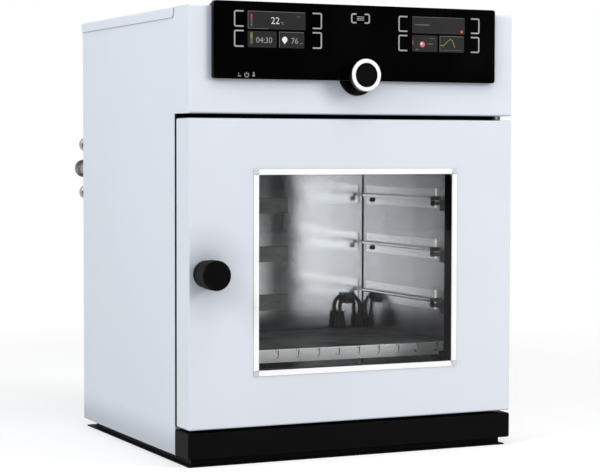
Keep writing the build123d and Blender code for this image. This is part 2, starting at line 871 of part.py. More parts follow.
def make_port_pipe(height, chamber_height_at, radius, bore=None):
    turn_y = insulation_back + valve_depth / 2
    path = FilletPolyline((port_x, port_tail_y, height), (port_x, turn_y, height),
                          (pipe_chamber_x, turn_y, chamber_height_at),
                          (pipe_chamber_x, chamber_back + chamber_wall, chamber_height_at), radius=pipe_bend)
    start = Plane((port_x, port_tail_y, height), z_dir=(0, -1, 0))
    section = Circle(radius) - Circle(bore) if bore else Circle(radius)
    return sweep(start * section, path=path)


def make_valve(height, chamber_height_at, radius, bore):
    x = (port_x + pipe_chamber_x) / 2
    z = (height + chamber_height_at) / 2
    y = insulation_back + valve_depth / 2
    body = block((x - valve_width / 2, x + valve_width / 2), (y - valve_depth / 2, y + valve_depth / 2),
                 (z - valve_height / 2, z + valve_height / 2))
    return body - make_port_pipe(height, chamber_height_at, radius)


ports = (
    (vacuum_port_z, vacuum_port_z, vacuum_tube_radius, vacuum_bore_radius),
    (gas_port_z, gas_port_z, gas_tube_radius, gas_bore_radius),
    (air_port_z, air_port_z - rib_height, gas_tube_radius, gas_bore_radius),
)
nodes["vacuum_port"] = make_vacuum_port()
nodes["gas_port"] = make_gas_port(gas_port_z)
nodes["air_port"] = make_gas_port(air_port_z)
nodes["port_pipes"] = [make_port_pipe(*port) for port in ports]
nodes["valves"] = [make_valve(*port) for port in ports]


# Electrics

def make_electronics_tray():
    x = (-inner_half, inner_half)
    y = (frame_back + tray_inset, rear - flange - tray_inset)
    outer = block(x, y, (tray_z, tray_z + tray_flange))
    hollow = block((x[0] + sheet, x[1] - sheet), (y[0] - sheet, y[1] + sheet), (tray_z + sheet, tray_z + 2 * tray_flange))
    return outer - hollow


def make_power_supply():
    low = tray_z + sheet
    back = rear - supply_rear_gap
    case = block((supply_x - supply_width / 2, supply_x + supply_width / 2), (back - supply_depth, back),
                 (low, low + supply_height))
    return fillet(case.edges().filter_by(Axis.Z), sheet)


def make_control_board():
    top = cabinet_height - board_drop + board_height / 2
    bottom = cabinet_height - board_drop - board_height / 2
    y = header_back + standoff_length
    board = block((-board_width / 2, board_width / 2), (y, y + board_thickness), (bottom, top))
    for x in (-1, 1):
        for z in (bottom + standoff_inset, top - standoff_inset):
            board += rod_y(standoff_radius, x * (board_width / 2 - standoff_inset), z, header_back, y)
    switch = block((button_x - switch_size / 2, button_x + switch_size / 2), (header_back, header_back + switch_depth),
                   (button_z - switch_size / 2, button_z + switch_size / 2))
    switch -= rod_y(button_stem_radius + button_hole_gap, button_x, button_z, header_back - sheet,
                    header_back + switch_well)
    return [board, switch]


def make_mains_inlet():
    x = (inlet_x - inlet_width / 2, inlet_x + inlet_width / 2)
    z = (inlet_z - inlet_height / 2, inlet_z + inlet_height / 2)
    body = block(x, (rear - inlet_depth, rear + sheet), z)
    rim = block((x[0] - inlet_flange, x[1] + inlet_flange), (rear, rear + 2 * sheet),
                (z[0] - inlet_flange, z[1] + inlet_flange))
    well = block((x[0] + inlet_wall, x[1] - inlet_wall), (rear - inlet_depth + 2 * inlet_wall, rear + flange),
                 (z[0] + inlet_wall, z[1] - inlet_wall))
    inlet = body + rim - well
    for step in (-1, 0, 1):
        pin_x = inlet_x + step * inlet_width / 4
        pin_z = inlet_z + (1 - abs(step)) * inlet_wall
        inlet += block((pin_x - sheet, pin_x + sheet), (rear - inlet_depth + inlet_wall, rear - inlet_wall),
                       (pin_z - 2 * sheet, pin_z + 2 * sheet))
    return inlet


nodes["electronics_tray"] = make_electronics_tray()
nodes["power_supply"] = make_power_supply()
nodes["control_board"] = make_control_board()
nodes["mains_inlet"] = make_mains_inlet()


# Control panel

def panel_outline():
    height = panel_top - panel_bottom
    return Pos(0, (panel_top + panel_bottom) / 2) * RectangleRounded(panel_width, height, panel_corner)


def make_cockpit_housing():
    housing = upright(panel_outline(), glass_back, front)
    boss = rod_y(boss_radius, 0, dial_z, front - boss_proud, front)
    wedge = Polyline((front - sheet, cabinet_height), (front + lip_setback, cabinet_height),
                     (front + lip_setback, cabinet_height + lip_tail), (front, cabinet_height + lip_front),
                     (front - sheet, cabinet_height + lip_front), close=True)
    lip = extrude(Plane.YZ * make_face(wedge), amount=panel_width / 2 - panel_corner, both=True)
    housing = housing + boss + lip
    for x in (display_left_x, display_right_x):
        housing -= plate(display_width + 2 * display_gap, display_height + 2 * display_gap, sheet, x, display_z,
                         glass_back - sheet, glass_back + display_depth + display_gap)
    housing -= rod_y(encoder_bush_radius + fit_hole, 0, dial_z, panel_front - sheet, front + sheet)
    housing -= rod_y(button_radius + button_hole_gap, button_x, button_z, panel_front - sheet, front + sheet)
    return housing


def make_cockpit_glass():
    glass = upright(panel_outline(), panel_front, glass_back)
    face_edges = glass.faces().sort_by(Axis.Y)[0].edges()
    glass = chamfer(face_edges, glass_thickness / 6)
    glass -= rod_y(encoder_bush_radius + fit_hole, 0, dial_z, panel_front - sheet, glass_back + sheet)
    glass -= rod_y(button_radius + button_hole_gap, button_x, button_z, panel_front - sheet, glass_back + sheet)
    return glass


def make_displays():
    return [plate(display_width, display_height, sheet, x, display_z, glass_back, glass_back + display_depth)
            for x in (display_left_x, display_right_x)]


def make_encoder_body():
    half = encoder_size / 2
    body = block((-half, half), (header_back, encoder_back), (dial_z - half, dial_z + half))
    bush = rod_y(encoder_bush_radius, 0, dial_z, bush_front, header_back)
    bore = rod_y(rotor_radius + running_gap, 0, dial_z, bush_front - sheet, encoder_back - encoder_floor)
    return body + bush - bore


def d_section(radius, x, z):
    # A round section with one flat, as on a control shaft
    flat = Pos(x, z + radius) * Rectangle(2 * radius, radius)
    return Pos(x, z) * Circle(radius) - flat


def make_encoder_rotor():
    bore = upright(d_section(dial_shaft_radius + running_gap, 0, dial_z), bush_front - sheet, rotor_back + sheet)
    return rod_y(rotor_radius, 0, dial_z, bush_front, rotor_back) - bore


def make_dial_shaft():
    tip = dial_front + dial_cap_recess + dial_cap_thickness
    return upright(d_section(dial_shaft_radius, 0, dial_z), tip, rotor_back - shaft_end_gap)


def make_dial_body():
    ring_back = dial_front + dial_ring_thickness
    seat = dial_front + dial_cap_recess + dial_cap_thickness
    profile = ((0, seat), (dial_inner_radius, seat), (dial_inner_radius, ring_back), (dial_radius - sheet, ring_back),
               (dial_rear_radius, dial_back), (0, dial_back))
    return turned(profile, 0, dial_z) - make_dial_shaft()


def make_dial_ring():
    ring_back = dial_front + dial_ring_thickness
    ring = turned(((dial_inner_radius, dial_front), (dial_radius, dial_front), (dial_radius, ring_back),
                   (dial_inner_radius, ring_back)), 0, dial_z)
    rim = [edge for edge in ring.edges().filter_by(GeomType.CIRCLE) if edge.center().Y < dial_front + sheet]
    return fillet(rim, dial_ring_round)


def make_dial_cap():
    return rod_y(dial_inner_radius, 0, dial_z, dial_front + dial_cap_recess,
                 dial_front + dial_cap_recess + dial_cap_thickness)


def make_power_button():
    cap_back = panel_front - button_proud + button_cap
    cap = rod_y(button_radius, button_x, button_z, panel_front - button_proud, cap_back)
    return cap + rod_y(button_stem_radius, button_x, button_z, cap_back, header_back + button_stem_end)


nodes["cockpit_housing"] = make_cockpit_housing()
nodes["cockpit_glass"] = make_cockpit_glass()
nodes["displays"] = make_displays()
nodes["encoder_body"] = make_encoder_body()
nodes["encoder_rotor"] = make_encoder_rotor()
nodes["dial_body"] = make_dial_body()
nodes["dial_ring"] = make_dial_ring()
nodes["dial_cap"] = make_dial_cap()
nodes["dial_shaft"] = make_dial_shaft()
nodes["power_button"] = make_power_button()


# Hinges

pin_high = header_bottom + sheet + hinge_block
pin_low = plinth_top - sheet - hinge_block


def make_hinge_brackets():
    x = (hinge_x - hinge_block_width / 2, hinge_x + hinge_block_width / 2 - bend)
    y = (hinge_y - hinge_block_width / 2, face_plane - seam)
    upper = block(x, y, (header_bottom + sheet, pin_high)) - rod_z(pin_radius, hinge_x, hinge_y, header_bottom, pin_high + sheet)
    lower = block(x, y, (pin_low, plinth_top - sheet)) - rod_z(pin_radius, hinge_x, hinge_y, pin_low - sheet, plinth_top)
    return [upper, lower]


def make_hinge_pins():
    upper = rod_z(pin_radius, hinge_x, hinge_y, door_top - pin_depth, pin_high)
    upper += rod_z(collar_radius, hinge_x, hinge_y, door_top + collar_gap, header_bottom)
    lower = rod_z(pin_radius, hinge_x, hinge_y, pin_low, door_bottom + pin_depth)
    lower += rod_z(collar_radius, hinge_x, hinge_y, plinth_top, door_bottom - collar_gap)
    return [upper, lower]


def bush_wells(y_margin):
    radius = pin_radius + running_gap + bush_wall
    low = rod_z(radius, hinge_x, hinge_y, door_bottom - y_margin, door_bottom + pin_depth + 1)
    high = rod_z(radius, hinge_x, hinge_y, door_top - pin_depth - 1, door_top + y_margin)
    return low + high


def make_hinge_bushes():
    radius = pin_radius + running_gap + bush_wall
    bore = pin_radius + running_gap
    spans = ((door_bottom, door_bottom + pin_depth + 1), (door_top - pin_depth - 1, door_top))
    return [rod_z(radius, hinge_x, hinge_y, *span) - rod_z(bore, hinge_x, hinge_y, *span) for span in spans]


nodes["hinge_brackets"] = make_hinge_brackets()
nodes["hinge_pins"] = make_hinge_pins()
nodes["hinge_bushes"] = make_hinge_bushes()


# Door

latch_bush_radius = shaft_radius + running_gap + latch_bush_wall
core_front = front + sheet
core_back = door_back - sheet
outer_pane_back = core_front + outer_pane_thickness


def latch_bush_well():
    return rod_y(latch_bush_radius, latch_x, latch_z, front - sheet, door_back + sheet)


def make_door_skin():
    skin = folded_tray((-half_width, half_width), (front, door_back), (door_bottom, door_top), sheet, bend)
    window = plate(window_width + 2 * trim_lap, window_height + 2 * trim_lap, seam, window_shift, door_middle,
                   front - sheet, core_front + sheet)
    return skin - window - latch_bush_well() - bush_wells(sheet)


def make_door_liner():
    x = (-inner_half, inner_half)
    z = (door_bottom + sheet + seam, door_top - sheet - seam)
    liner = block(x, (core_back, door_back), z)
    liner = fillet(liner.edges().filter_by(Axis.Y), bend)
    opening = plate(2 * (pane_half_width - inner_pane_rebate + pane_play),
                    2 * (pane_half_height - inner_pane_rebate + pane_play), inner_pane_corner, 0, door_middle,
                    core_back - sheet, door_back + sheet)
    return liner - opening - latch_bush_well()


def make_door_insulation():
    x = (-inner_half, inner_half)
    z = (door_bottom + sheet + seam, door_top - sheet - seam)
    slab = block(x, (core_front, core_back), z)
    slab = fillet(slab.edges().filter_by(Axis.Y), bend)
    slab -= fillet(pane_frame_block().edges().filter_by(Axis.Y), bend)
    front_corners = block((-cabinet_width, cabinet_width), (core_front, core_front + bend), (0, cabinet_height))
    front_corners -= block((x[0] + bend, x[1] - bend), (core_front, core_front + bend), (z[0] + bend, z[1] - bend))
    return slab - front_corners - latch_bush_well() - bush_wells(sheet)


def pane_frame_block():
    return block((-pane_frame_half_width, pane_frame_half_width), (core_front, core_back),
                 (door_middle - pane_frame_half_height, door_middle + pane_frame_half_height))


def make_pane_frame():
    frame = fillet(pane_frame_block().edges().filter_by(Axis.Y), bend)
    window = plate(window_width, window_height, bend, window_shift, door_middle, core_front - sheet, core_back)
    outer_pocket = plate(window_width + 2 * (outer_pane_lap + pane_play), window_height + 2 * (outer_pane_lap + pane_play),
                         bend, window_shift, door_middle, core_front - sheet, outer_pane_back)
    inner_pocket = plate(2 * (pane_half_width + pane_play), 2 * (pane_half_height + pane_play), inner_pane_corner, 0,
                         door_middle, spring_ledge, core_back + sheet)
    return frame - window - outer_pocket - inner_pocket


def make_outer_pane():
    return plate(window_width + 2 * outer_pane_lap, window_height + 2 * outer_pane_lap, bend, window_shift,
                 door_middle, core_front, outer_pane_back)


def make_inner_pane():
    step = pane_back - inner_pane_rebate_depth
    wide = plate(2 * pane_half_width, 2 * pane_half_height, inner_pane_corner, 0, door_middle, pane_front, step)
    narrow = plate(2 * (pane_half_width - inner_pane_rebate), 2 * (pane_half_height - inner_pane_rebate),
                   inner_pane_corner, 0, door_middle, step, pane_back)
    return wide + narrow


def make_pane_spring(x, z, turn):
    # A leaf of spring steel: two feet, two slopes and a crown
    half = spring_length / 2
    knee = spring_crown / 2
    foot = spring_crown / 2
    low = spring_ledge
    high = pane_front
    outline = Polyline((-half, low), (-half + foot, low), (-knee, high - spring_sheet), (knee, high - spring_sheet),
                       (half - foot, low), (half, low), (half, low + spring_sheet),
                       (half - foot + spring_sheet / 2, low + spring_sheet), (knee + spring_sheet / 2, high),
                       (-knee - spring_sheet / 2, high), (-half + foot - spring_sheet / 2, low + spring_sheet),
                       (-half, low + spring_sheet), close=True)
    leaf = extrude(make_face(outline), amount=spring_width / 2, both=True)
    return Pos(x, 0, z) * Rot(0, turn, 0) * leaf


def make_pane_springs():
    springs = []
    side_x = (pane_half_width + window_width / 2 + abs(window_shift)) / 2
    top_z = (pane_half_height + window_height / 2) / 2
    for side in (-1, 1):
        for end in (-1, 1):
            springs.append(make_pane_spring(side * side_x, door_middle + end * spring_spacing / 2, 90))
            springs.append(make_pane_spring(end * spring_spacing / 2, door_middle + side * top_z, 0))
    return springs


def make_trim(length):
    # Flat cap on the door's face with a leg in the cut-out
    cap = block((-length / 2, length / 2), (front - trim_proud, front), (0, trim_width))
    leg = block((-length / 2, length / 2), (front, core_front), (0, trim_lap - seam))
    front_edges = [edge for edge in cap.edges() if edge.center().Y < front - trim_proud + sheet / 8]
    return chamfer(front_edges, trim_proud / 4) + leg


def make_window_trims():
    half_x = window_width / 2
    half_z = window_height / 2
    across = make_trim(window_width)
    along = make_trim(window_height)
    middle = Pos(window_shift, 0, door_middle)
    return [
        middle * Pos(0, 0, half_z) * across,
        middle * Rot(0, 180, 0) * Pos(0, 0, half_z) * across,
        middle * Rot(0, 90, 0) * Pos(0, 0, half_x) * along,
        middle * Rot(0, -90, 0) * Pos(0, 0, half_x) * along,
    ]


nodes["door_skin"] = make_door_skin()
nodes["door_liner"] = make_door_liner()
nodes["door_insulation"] = make_door_insulation()
nodes["pane_frame"] = make_pane_frame()
nodes["outer_pane"] = make_outer_pane()
nodes["inner_pane"] = make_inner_pane()
nodes["pane_springs"] = make_pane_springs()
nodes["window_trims"] = make_window_trims()
nodes["latch_bush"] = (rod_y(latch_bush_radius, latch_x, latch_z, front, door_back)
                       - rod_y(shaft_radius + running_gap, latch_x, latch_z, front, door_back))


# Door knob, its shaft and the latch bar

def make_door_knob():
    foot = front - knob_gap
    tip = front - knob_height
    profile = ((0, tip), (knob_radius, tip), (knob_radius, (tip + foot) / 2), (knob_waist, foot - knob_round),
               (knob_waist, foot), (0, foot))
    knob = turned(profile, latch_x, latch_z)
    rim = [edge for edge in knob.edges().filter_by(GeomType.CIRCLE) if edge.center().Y < tip + sheet]
    return fillet(rim, knob_round) - rod_y(shaft_radius, latch_x, latch_z, foot - shaft_grip, foot + sheet)


def make_latch_bar():
    bar = upright(Pos(latch_x, latch_z) * Rot(0, 0, 90) * SlotOverall(latch_bar_length, latch_bar_width),
                  bar_front, bar_back)
    return bar - rod_y(shaft_radius * 0.7, latch_x, latch_z, bar_front - sheet, bar_back + sheet)


def make_knob_shaft():
    foot = front - knob_gap
    shaft = rod_y(shaft_radius, latch_x, latch_z, foot - shaft_grip, bar_front)
    return shaft + rod_y(shaft_radius * 0.7, latch_x, latch_z, bar_front, bar_back)


nodes["door_knob"] = make_door_knob()
nodes["latch_bar"] = make_latch_bar()
nodes["knob_shaft"] = make_knob_shaft()


# One file for each node

for name, shape in nodes.items():
    if isinstance(shape, list):
        shape = Compound(children=[solid for piece in shape for solid in piece.solids()])
    shape.label = name
    export_step(shape, f"parts/{name}.step")
print(len(nodes), "nodes written")
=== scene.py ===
import math

import bmesh
import bpy
from mathutils import Matrix, Vector


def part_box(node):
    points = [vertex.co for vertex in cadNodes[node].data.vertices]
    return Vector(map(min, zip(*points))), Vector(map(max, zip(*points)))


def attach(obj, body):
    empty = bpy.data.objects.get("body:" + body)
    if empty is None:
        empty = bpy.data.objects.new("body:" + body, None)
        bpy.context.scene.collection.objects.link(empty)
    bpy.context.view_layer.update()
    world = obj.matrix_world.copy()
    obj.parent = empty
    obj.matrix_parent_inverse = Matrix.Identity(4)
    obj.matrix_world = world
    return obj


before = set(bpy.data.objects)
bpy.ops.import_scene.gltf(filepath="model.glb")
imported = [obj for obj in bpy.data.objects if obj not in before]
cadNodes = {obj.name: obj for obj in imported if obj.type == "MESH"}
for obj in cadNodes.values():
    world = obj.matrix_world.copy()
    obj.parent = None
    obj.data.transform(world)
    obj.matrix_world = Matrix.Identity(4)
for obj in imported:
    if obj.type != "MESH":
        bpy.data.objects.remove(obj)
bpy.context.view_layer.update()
mm = 0.001
print("frame loaded:", len(cadNodes), "nodes")


# Camera, set where the photograph was taken from
cameraLook = {
    "place": (-1.28887794, -2.80788967, 0.473398247),
    "turn": 0.437992068,  # to the right of straight ahead
    "tilt": 0.0487340054,  # downwards
    "roll": 0.00181525866,
    "lens": 112.5,
    "sensor": 36.0,
}


def makeCamera(look):
    turn, tilt, roll = look["turn"], look["tilt"], look["roll"]
    ahead = Vector((math.sin(turn) * math.cos(tilt), math.cos(turn) * math.cos(tilt), -math.sin(tilt)))
    level = Vector((math.cos(turn), -math.sin(turn), 0))
    lift = level.cross(ahead)
    across = level * math.cos(roll) + lift * math.sin(roll)
    up = lift * math.cos(roll) - level * math.sin(roll)
    data = bpy.data.cameras.new("camera")
    data.lens = look["lens"]
    data.sensor_width = look["sensor"]
    camera = bpy.data.objects.new("camera", data)
    bpy.context.scene.collection.objects.link(camera)
    spin = Matrix((across, up, -ahead)).transposed().to_4x4()
    camera.matrix_world = Matrix.Translation(look["place"]) @ spin
    bpy.context.scene.camera = camera


makeCamera(cameraLook)
bpy.context.scene.view_settings.view_transform = "Standard"
print("camera ready")


# Node helpers

def put(tree, kind, at, **settings):
    node = tree.nodes.new(kind)
    node.location = at
    for name, value in settings.items():
        setattr(node, name, value)
    return node


def feed(tree, source, target):
    if hasattr(source, "is_output"):
        tree.links.new(source, target)
    else:
        target.default_value = source


def math2(tree, operation, at, first, second=0.0, clamp=False):
    node = put(tree, "ShaderNodeMath", at, operation=operation, use_clamp=clamp)
    feed(tree, first, node.inputs[0])
    feed(tree, second, node.inputs[1])
    return node.outputs[0]


def mixColours(tree, at, share, first, second):
    node = put(tree, "ShaderNodeMix", at, data_type="RGBA")
    feed(tree, share, node.inputs[0])
    feed(tree, first, node.inputs[6])
    feed(tree, second, node.inputs[7])
    return node.outputs[2]


def rescale(tree, at, value, low, high, newLow, newHigh, smooth=False):
    node = put(tree, "ShaderNodeMapRange", at, interpolation_type="SMOOTHSTEP" if smooth else "LINEAR")
    for place, number in zip((1, 2, 3, 4), (low, high, newLow, newHigh)):
        node.inputs[place].default_value = number
    feed(tree, value, node.inputs[0])
    return node.outputs[0]


def noise(tree, at, vector, scale, detail=2.0):
    node = put(tree, "ShaderNodeTexNoise", at)
    node.inputs["Detail"].default_value = detail
    feed(tree, vector, node.inputs["Vector"])
    feed(tree, scale, node.inputs["Scale"])
    return node.outputs[0]


def normalParts(tree, at):
    # The surface direction as separate X, Y and Z
    facing = put(tree, "ShaderNodeNewGeometry", at)
    parts = put(tree, "ShaderNodeSeparateXYZ", (at[0] + 200, at[1]))
    feed(tree, facing.outputs["Normal"], parts.inputs[0])
    return parts.outputs


def startGroup(name, inputs, outputs):
    group = bpy.data.node_groups.new(name, "ShaderNodeTree")
    for label, value in inputs.items():
        kind = "NodeSocketVector" if isinstance(value, tuple) else "NodeSocketFloat"
        group.interface.new_socket(label, in_out="INPUT", socket_type=kind).default_value = value
    for label in outputs:
        group.interface.new_socket(label, in_out="OUTPUT", socket_type="NodeSocketFloat")
    return group, put(group, "NodeGroupInput", (-1000, 0)), put(group, "NodeGroupOutput", (700, 0))


def useGroup(tree, name, at, values):
    node = put(tree, "ShaderNodeGroup", at)
    node.node_tree = bpy.data.node_groups[name]
    node.name = name
    for label, value in values.items():
        node.inputs[label].default_value = value
    return node.outputs


# Shared effects

def makeSurfaceGrain():
    # Fine grain for the bump, and large soft patches for colour and gloss
    group, given, out = startGroup("surfaceGrain", {"Grain Scale": 900.0, "Patch Scale": 4.0, "Stretch": (1.0, 1.0, 1.0)},
                                   ("Height", "Patches"))
    where = put(group, "ShaderNodeTexCoord", (-800, -200))
    pull = put(group, "ShaderNodeMapping", (-600, 0))
    feed(group, where.outputs["Object"], pull.inputs["Vector"])
    feed(group, given.outputs["Stretch"], pull.inputs["Scale"])
    grain = noise(group, (-300, 200), pull.outputs[0], given.outputs["Grain Scale"], 3.0)
    patches = noise(group, (-300, -200), where.outputs["Object"], given.outputs["Patch Scale"], 4.0)
    feed(group, grain, out.inputs["Height"])
    feed(group, rescale(group, (0, -200), patches, 0.32, 0.68, 0.0, 1.0, True), out.inputs["Patches"])


def makeBrushedLines():
    # Long lines from a brushing belt; Stretch is large across the lines and small along them
    group, given, out = startGroup("brushedLines", {"Stretch": (900.0, 900.0, 7.0), "Broad": 0.06}, ("Streak", "Fine"))
    where = put(group, "ShaderNodeTexCoord", (-800, -200))
    fineScale = put(group, "ShaderNodeMapping", (-550, 200))
    feed(group, where.outputs["Object"], fineScale.inputs["Vector"])
    feed(group, given.outputs["Stretch"], fineScale.inputs["Scale"])
    broadScale = put(group, "ShaderNodeVectorMath", (-550, -200), operation="SCALE")
    feed(group, fineScale.outputs[0], broadScale.inputs[0])
    feed(group, given.outputs["Broad"], broadScale.inputs["Scale"])
    fine = noise(group, (-300, 200), fineScale.outputs[0], 1.0, 4.0)
    broad = noise(group, (-300, -200), broadScale.outputs[0], 1.0, 3.0)
    both = math2(group, "ADD", (0, 0), math2(group, "MULTIPLY", (-100, 200), fine, 0.45),
                 math2(group, "MULTIPLY", (-100, -200), broad, 0.55))
    feed(group, rescale(group, (200, 0), both, 0.36, 0.64, 0.0, 1.0), out.inputs["Streak"])
    feed(group, fine, out.inputs["Fine"])


def makeEdgeWear():
    # A broken line along edges, where hands and cloths rub
    group, given, out = startGroup("edgeWear", {"Radius": 0.001, "Amount": 0.5, "Breaks": 90.0}, ("Mask",))
    rounded = put(group, "ShaderNodeBevel", (-700, 200), samples=4)
    feed(group, given.outputs["Radius"], rounded.inputs["Radius"])
    flat = put(group, "ShaderNodeNewGeometry", (-700, -50))
    agree = put(group, "ShaderNodeVectorMath", (-450, 100), operation="DOT_PRODUCT")
    feed(group, rounded.outputs[0], agree.inputs[0])
    feed(group, flat.outputs["Normal"], agree.inputs[1])
    edge = rescale(group, (-250, 100), agree.outputs["Value"], 0.99, 0.78, 0.0, 1.0)
    where = put(group, "ShaderNodeTexCoord", (-700, -300))
    breaks = noise(group, (-450, -300), where.outputs["Object"], given.outputs["Breaks"])
    broken = rescale(group, (-200, -300), breaks, 0.4, 0.62, 0.15, 1.0)
    worn = math2(group, "MULTIPLY", (100, 0), edge, broken)
    feed(group, math2(group, "MULTIPLY", (350, 0), worn, given.outputs["Amount"], True), out.inputs["Mask"])


def makeDustFilm():
    # A mask on faces that look up: thin dust on paint, and painted shade on the shelf's top
    group, given, out = startGroup("dustAndTopShade", {"Amount": 0.1, "Size": 40.0}, ("Mask",))
    up = rescale(group, (-250, 200), normalParts(group, (-700, 200))["Z"], 0.6, 1.0, 0.0, 1.0, True)
    where = put(group, "ShaderNodeTexCoord", (-700, -200))
    specks = noise(group, (-450, -200), where.outputs["Object"], given.outputs["Size"], 6.0)
    cover = rescale(group, (-200, -200), specks, 0.35, 0.7, 0.3, 1.0)
    upFacingMask = math2(group, "MULTIPLY", (100, 0), up, cover)
    feed(group, math2(group, "MULTIPLY", (350, 0), upFacingMask, given.outputs["Amount"]), out.inputs["Mask"])


def makeCreviceTone():
    # Painted shade: a mask that grows where neighbours shut a surface in, such as along a raised edge
    group, given, out = startGroup("paintedCreviceShade", {"Reach": 0.06, "Gain": 3.0}, ("Mask",))
    shut = put(group, "ShaderNodeAmbientOcclusion", (-400, 0), samples=8)
    feed(group, given.outputs["Reach"], shut.inputs["Distance"])
    hidden = math2(group, "SUBTRACT", (-200, 0), 1.0, shut.outputs["AO"])
    feed(group, math2(group, "MULTIPLY", (0, 0), hidden, given.outputs["Gain"], True), out.inputs["Mask"])


for makeEffect in (makeSurfaceGrain, makeBrushedLines, makeEdgeWear, makeDustFilm, makeCreviceTone):
    makeEffect()
print("shared effects ready")


# Finishes

def colour(red, green, blue):
    return (red, green, blue, 1.0)


def startFinish(name):
    material = bpy.data.materials.new(name)
    material.use_nodes = True
    tree = material.node_tree
    return material, tree, tree.nodes["Principled BSDF"]


def setPlain(shader, look):
    # Values that are the same all over, set on the shader's own sockets
    for label, key in (("Specular IOR Level", "specular"), ("Specular Tint", "edgeTone"), ("Coat Weight", "coat"),
                       ("IOR", "ior"), ("Transmission Weight", "transmission"), ("Sheen Weight", "sheen")):
        if key in look:
            shader.inputs[label].default_value = look[key]


def setRoughness(tree, shader, at, value, look, low=0.0, high=1.0):
    feed(tree, rescale(tree, at, value, low, high, look["rough"][0], look["rough"][1]), shader.inputs["Roughness"])


def addBump(tree, shader, height, look):
    bump = put(tree, "ShaderNodeBump", (-300, -350))
    bump.inputs["Strength"].default_value = look["bump"]
    bump.inputs["Distance"].default_value = look["depth"] * mm
    feed(tree, height, bump.inputs["Height"])
    feed(tree, bump.outputs[0], shader.inputs["Normal"])


def coatedFinish(name, look):
    # Paint, plastic, rubber, wool: a grained surface with patches, worn edges, dust and painted shade in crevices
    material, tree, shader = startFinish(name)
    setPlain(shader, look)
    grain = useGroup(tree, "surfaceGrain", (-1100, 200), {
        "Grain Scale": look["grain"], "Patch Scale": look["patch"], "Stretch": look.get("stretch", (1.0, 1.0, 1.0))})
    tone = mixColours(tree, (-800, 300), grain["Patches"], look["dark"], look["light"])
    tone = mixColours(tree, (-650, 300), math2(tree, "MULTIPLY", (-900, 60), grain["Height"], look.get("speckle", 0.06)),
                      tone, look["dark"])
    if "wear" in look:
        wear = useGroup(tree, "edgeWear", (-1100, -100), {"Radius": look["wearRadius"] * mm, "Amount": look["wear"]})
        tone = mixColours(tree, (-500, 300), wear["Mask"], tone, look["worn"])
    if "dust" in look:
        dust = useGroup(tree, "dustAndTopShade", (-1100, -300), {"Amount": look["dust"]})
        tone = mixColours(tree, (-350, 300), dust["Mask"], tone, dustColour)
    # painted shade: the colour goes darker where neighbours shut the surface in
    if "shade" in look:
        shut = useGroup(tree, "paintedCreviceShade", (-1100, 900), {"Reach": look["reach"] * mm, "Gain": look["gain"]})
        tone = mixColours(tree, (-200, 600), shut["Mask"], tone, look["shade"])
    if "sideTone" in look:
        side = rescale(tree, (-700, 700), normalParts(tree, (-1100, 700))["Y"], -0.9, -0.5, 0.0, 1.0)
        tone = mixColours(tree, (-250, 450), side, tone, look["sideTone"])
    feed(tree, tone, shader.inputs["Base Color"])
    setRoughness(tree, shader, (-600, 0), grain["Patches"], look)
    addBump(tree, shader, grain["Height"], look)
    return material


def brushedFinish(name, look):
    # Metal with brushing lines that change its colour, gloss and surface; faces that look up can get painted shade
    material, tree, shader = startFinish(name)
    setPlain(shader, look)
    shader.inputs["Metallic"].default_value = look.get("metallic", 1.0)
    lines = useGroup(tree, "brushedLines", (-1100, 250), {"Stretch": look["lines"]})
    grain = useGroup(tree, "surfaceGrain", (-1100, -50), {"Grain Scale": 400.0, "Patch Scale": look["patch"]})
    tone = mixColours(tree, (-800, 300), lines["Streak"], look["dark"], look["light"])
    tone = mixColours(tree, (-600, 300), math2(tree, "MULTIPLY", (-800, 80), grain["Patches"], look.get("stain", 0.2)),
                      tone, look["dark"])
    # painted shade: faces that look up go towards the near-black topShade colour
    if "topShade" in look:
        upFacingMask = useGroup(tree, "dustAndTopShade", (-1100, -500), {"Amount": look["topShadeAmount"], "Size": 9.0})
        tone = mixColours(tree, (-500, 450), upFacingMask["Mask"], tone, look["topShade"])
    if "wear" in look:
        wear = useGroup(tree, "edgeWear", (-1100, -300), {"Radius": look["wearRadius"] * mm, "Amount": look["wear"]})
        tone = mixColours(tree, (-400, 300), wear["Mask"], tone, look["light"])
    feed(tree, tone, shader.inputs["Base Color"])
    mixed = math2(tree, "ADD", (-800, -100), math2(tree, "MULTIPLY", (-950, -100), lines["Streak"], 0.6),
                  math2(tree, "MULTIPLY", (-950, -220), grain["Patches"], 0.4))
    setRoughness(tree, shader, (-600, -100), mixed, look)
    addBump(tree, shader, lines["Fine"], look)
    return material


def platedFinish(name, look):
    # Zinc plate with its soft crystal patches
    material, tree, shader = startFinish(name)
    shader.inputs["Metallic"].default_value = 1.0
    where = put(tree, "ShaderNodeTexCoord", (-1200, 0))
    crystals = put(tree, "ShaderNodeTexVoronoi", (-1000, 200), feature="SMOOTH_F1")
    crystals.inputs["Scale"].default_value = look["crystals"]
    feed(tree, where.outputs["Object"], crystals.inputs["Vector"])
    grain = useGroup(tree, "surfaceGrain", (-1000, -150), {"Grain Scale": 700.0, "Patch Scale": 8.0})
    tone = mixColours(tree, (-700, 300), crystals.outputs["Distance"], look["light"], look["dark"])
    feed(tree, mixColours(tree, (-500, 300), grain["Patches"], tone, look["dark"]), shader.inputs["Base Color"])
    mixed = math2(tree, "ADD", (-750, -50), crystals.outputs["Distance"],
                  math2(tree, "MULTIPLY", (-850, -150), grain["Patches"], 0.5))
    setRoughness(tree, shader, (-600, -50), mixed, look, 0.1, 1.1)
    addBump(tree, shader, grain["Height"], look)
    return material


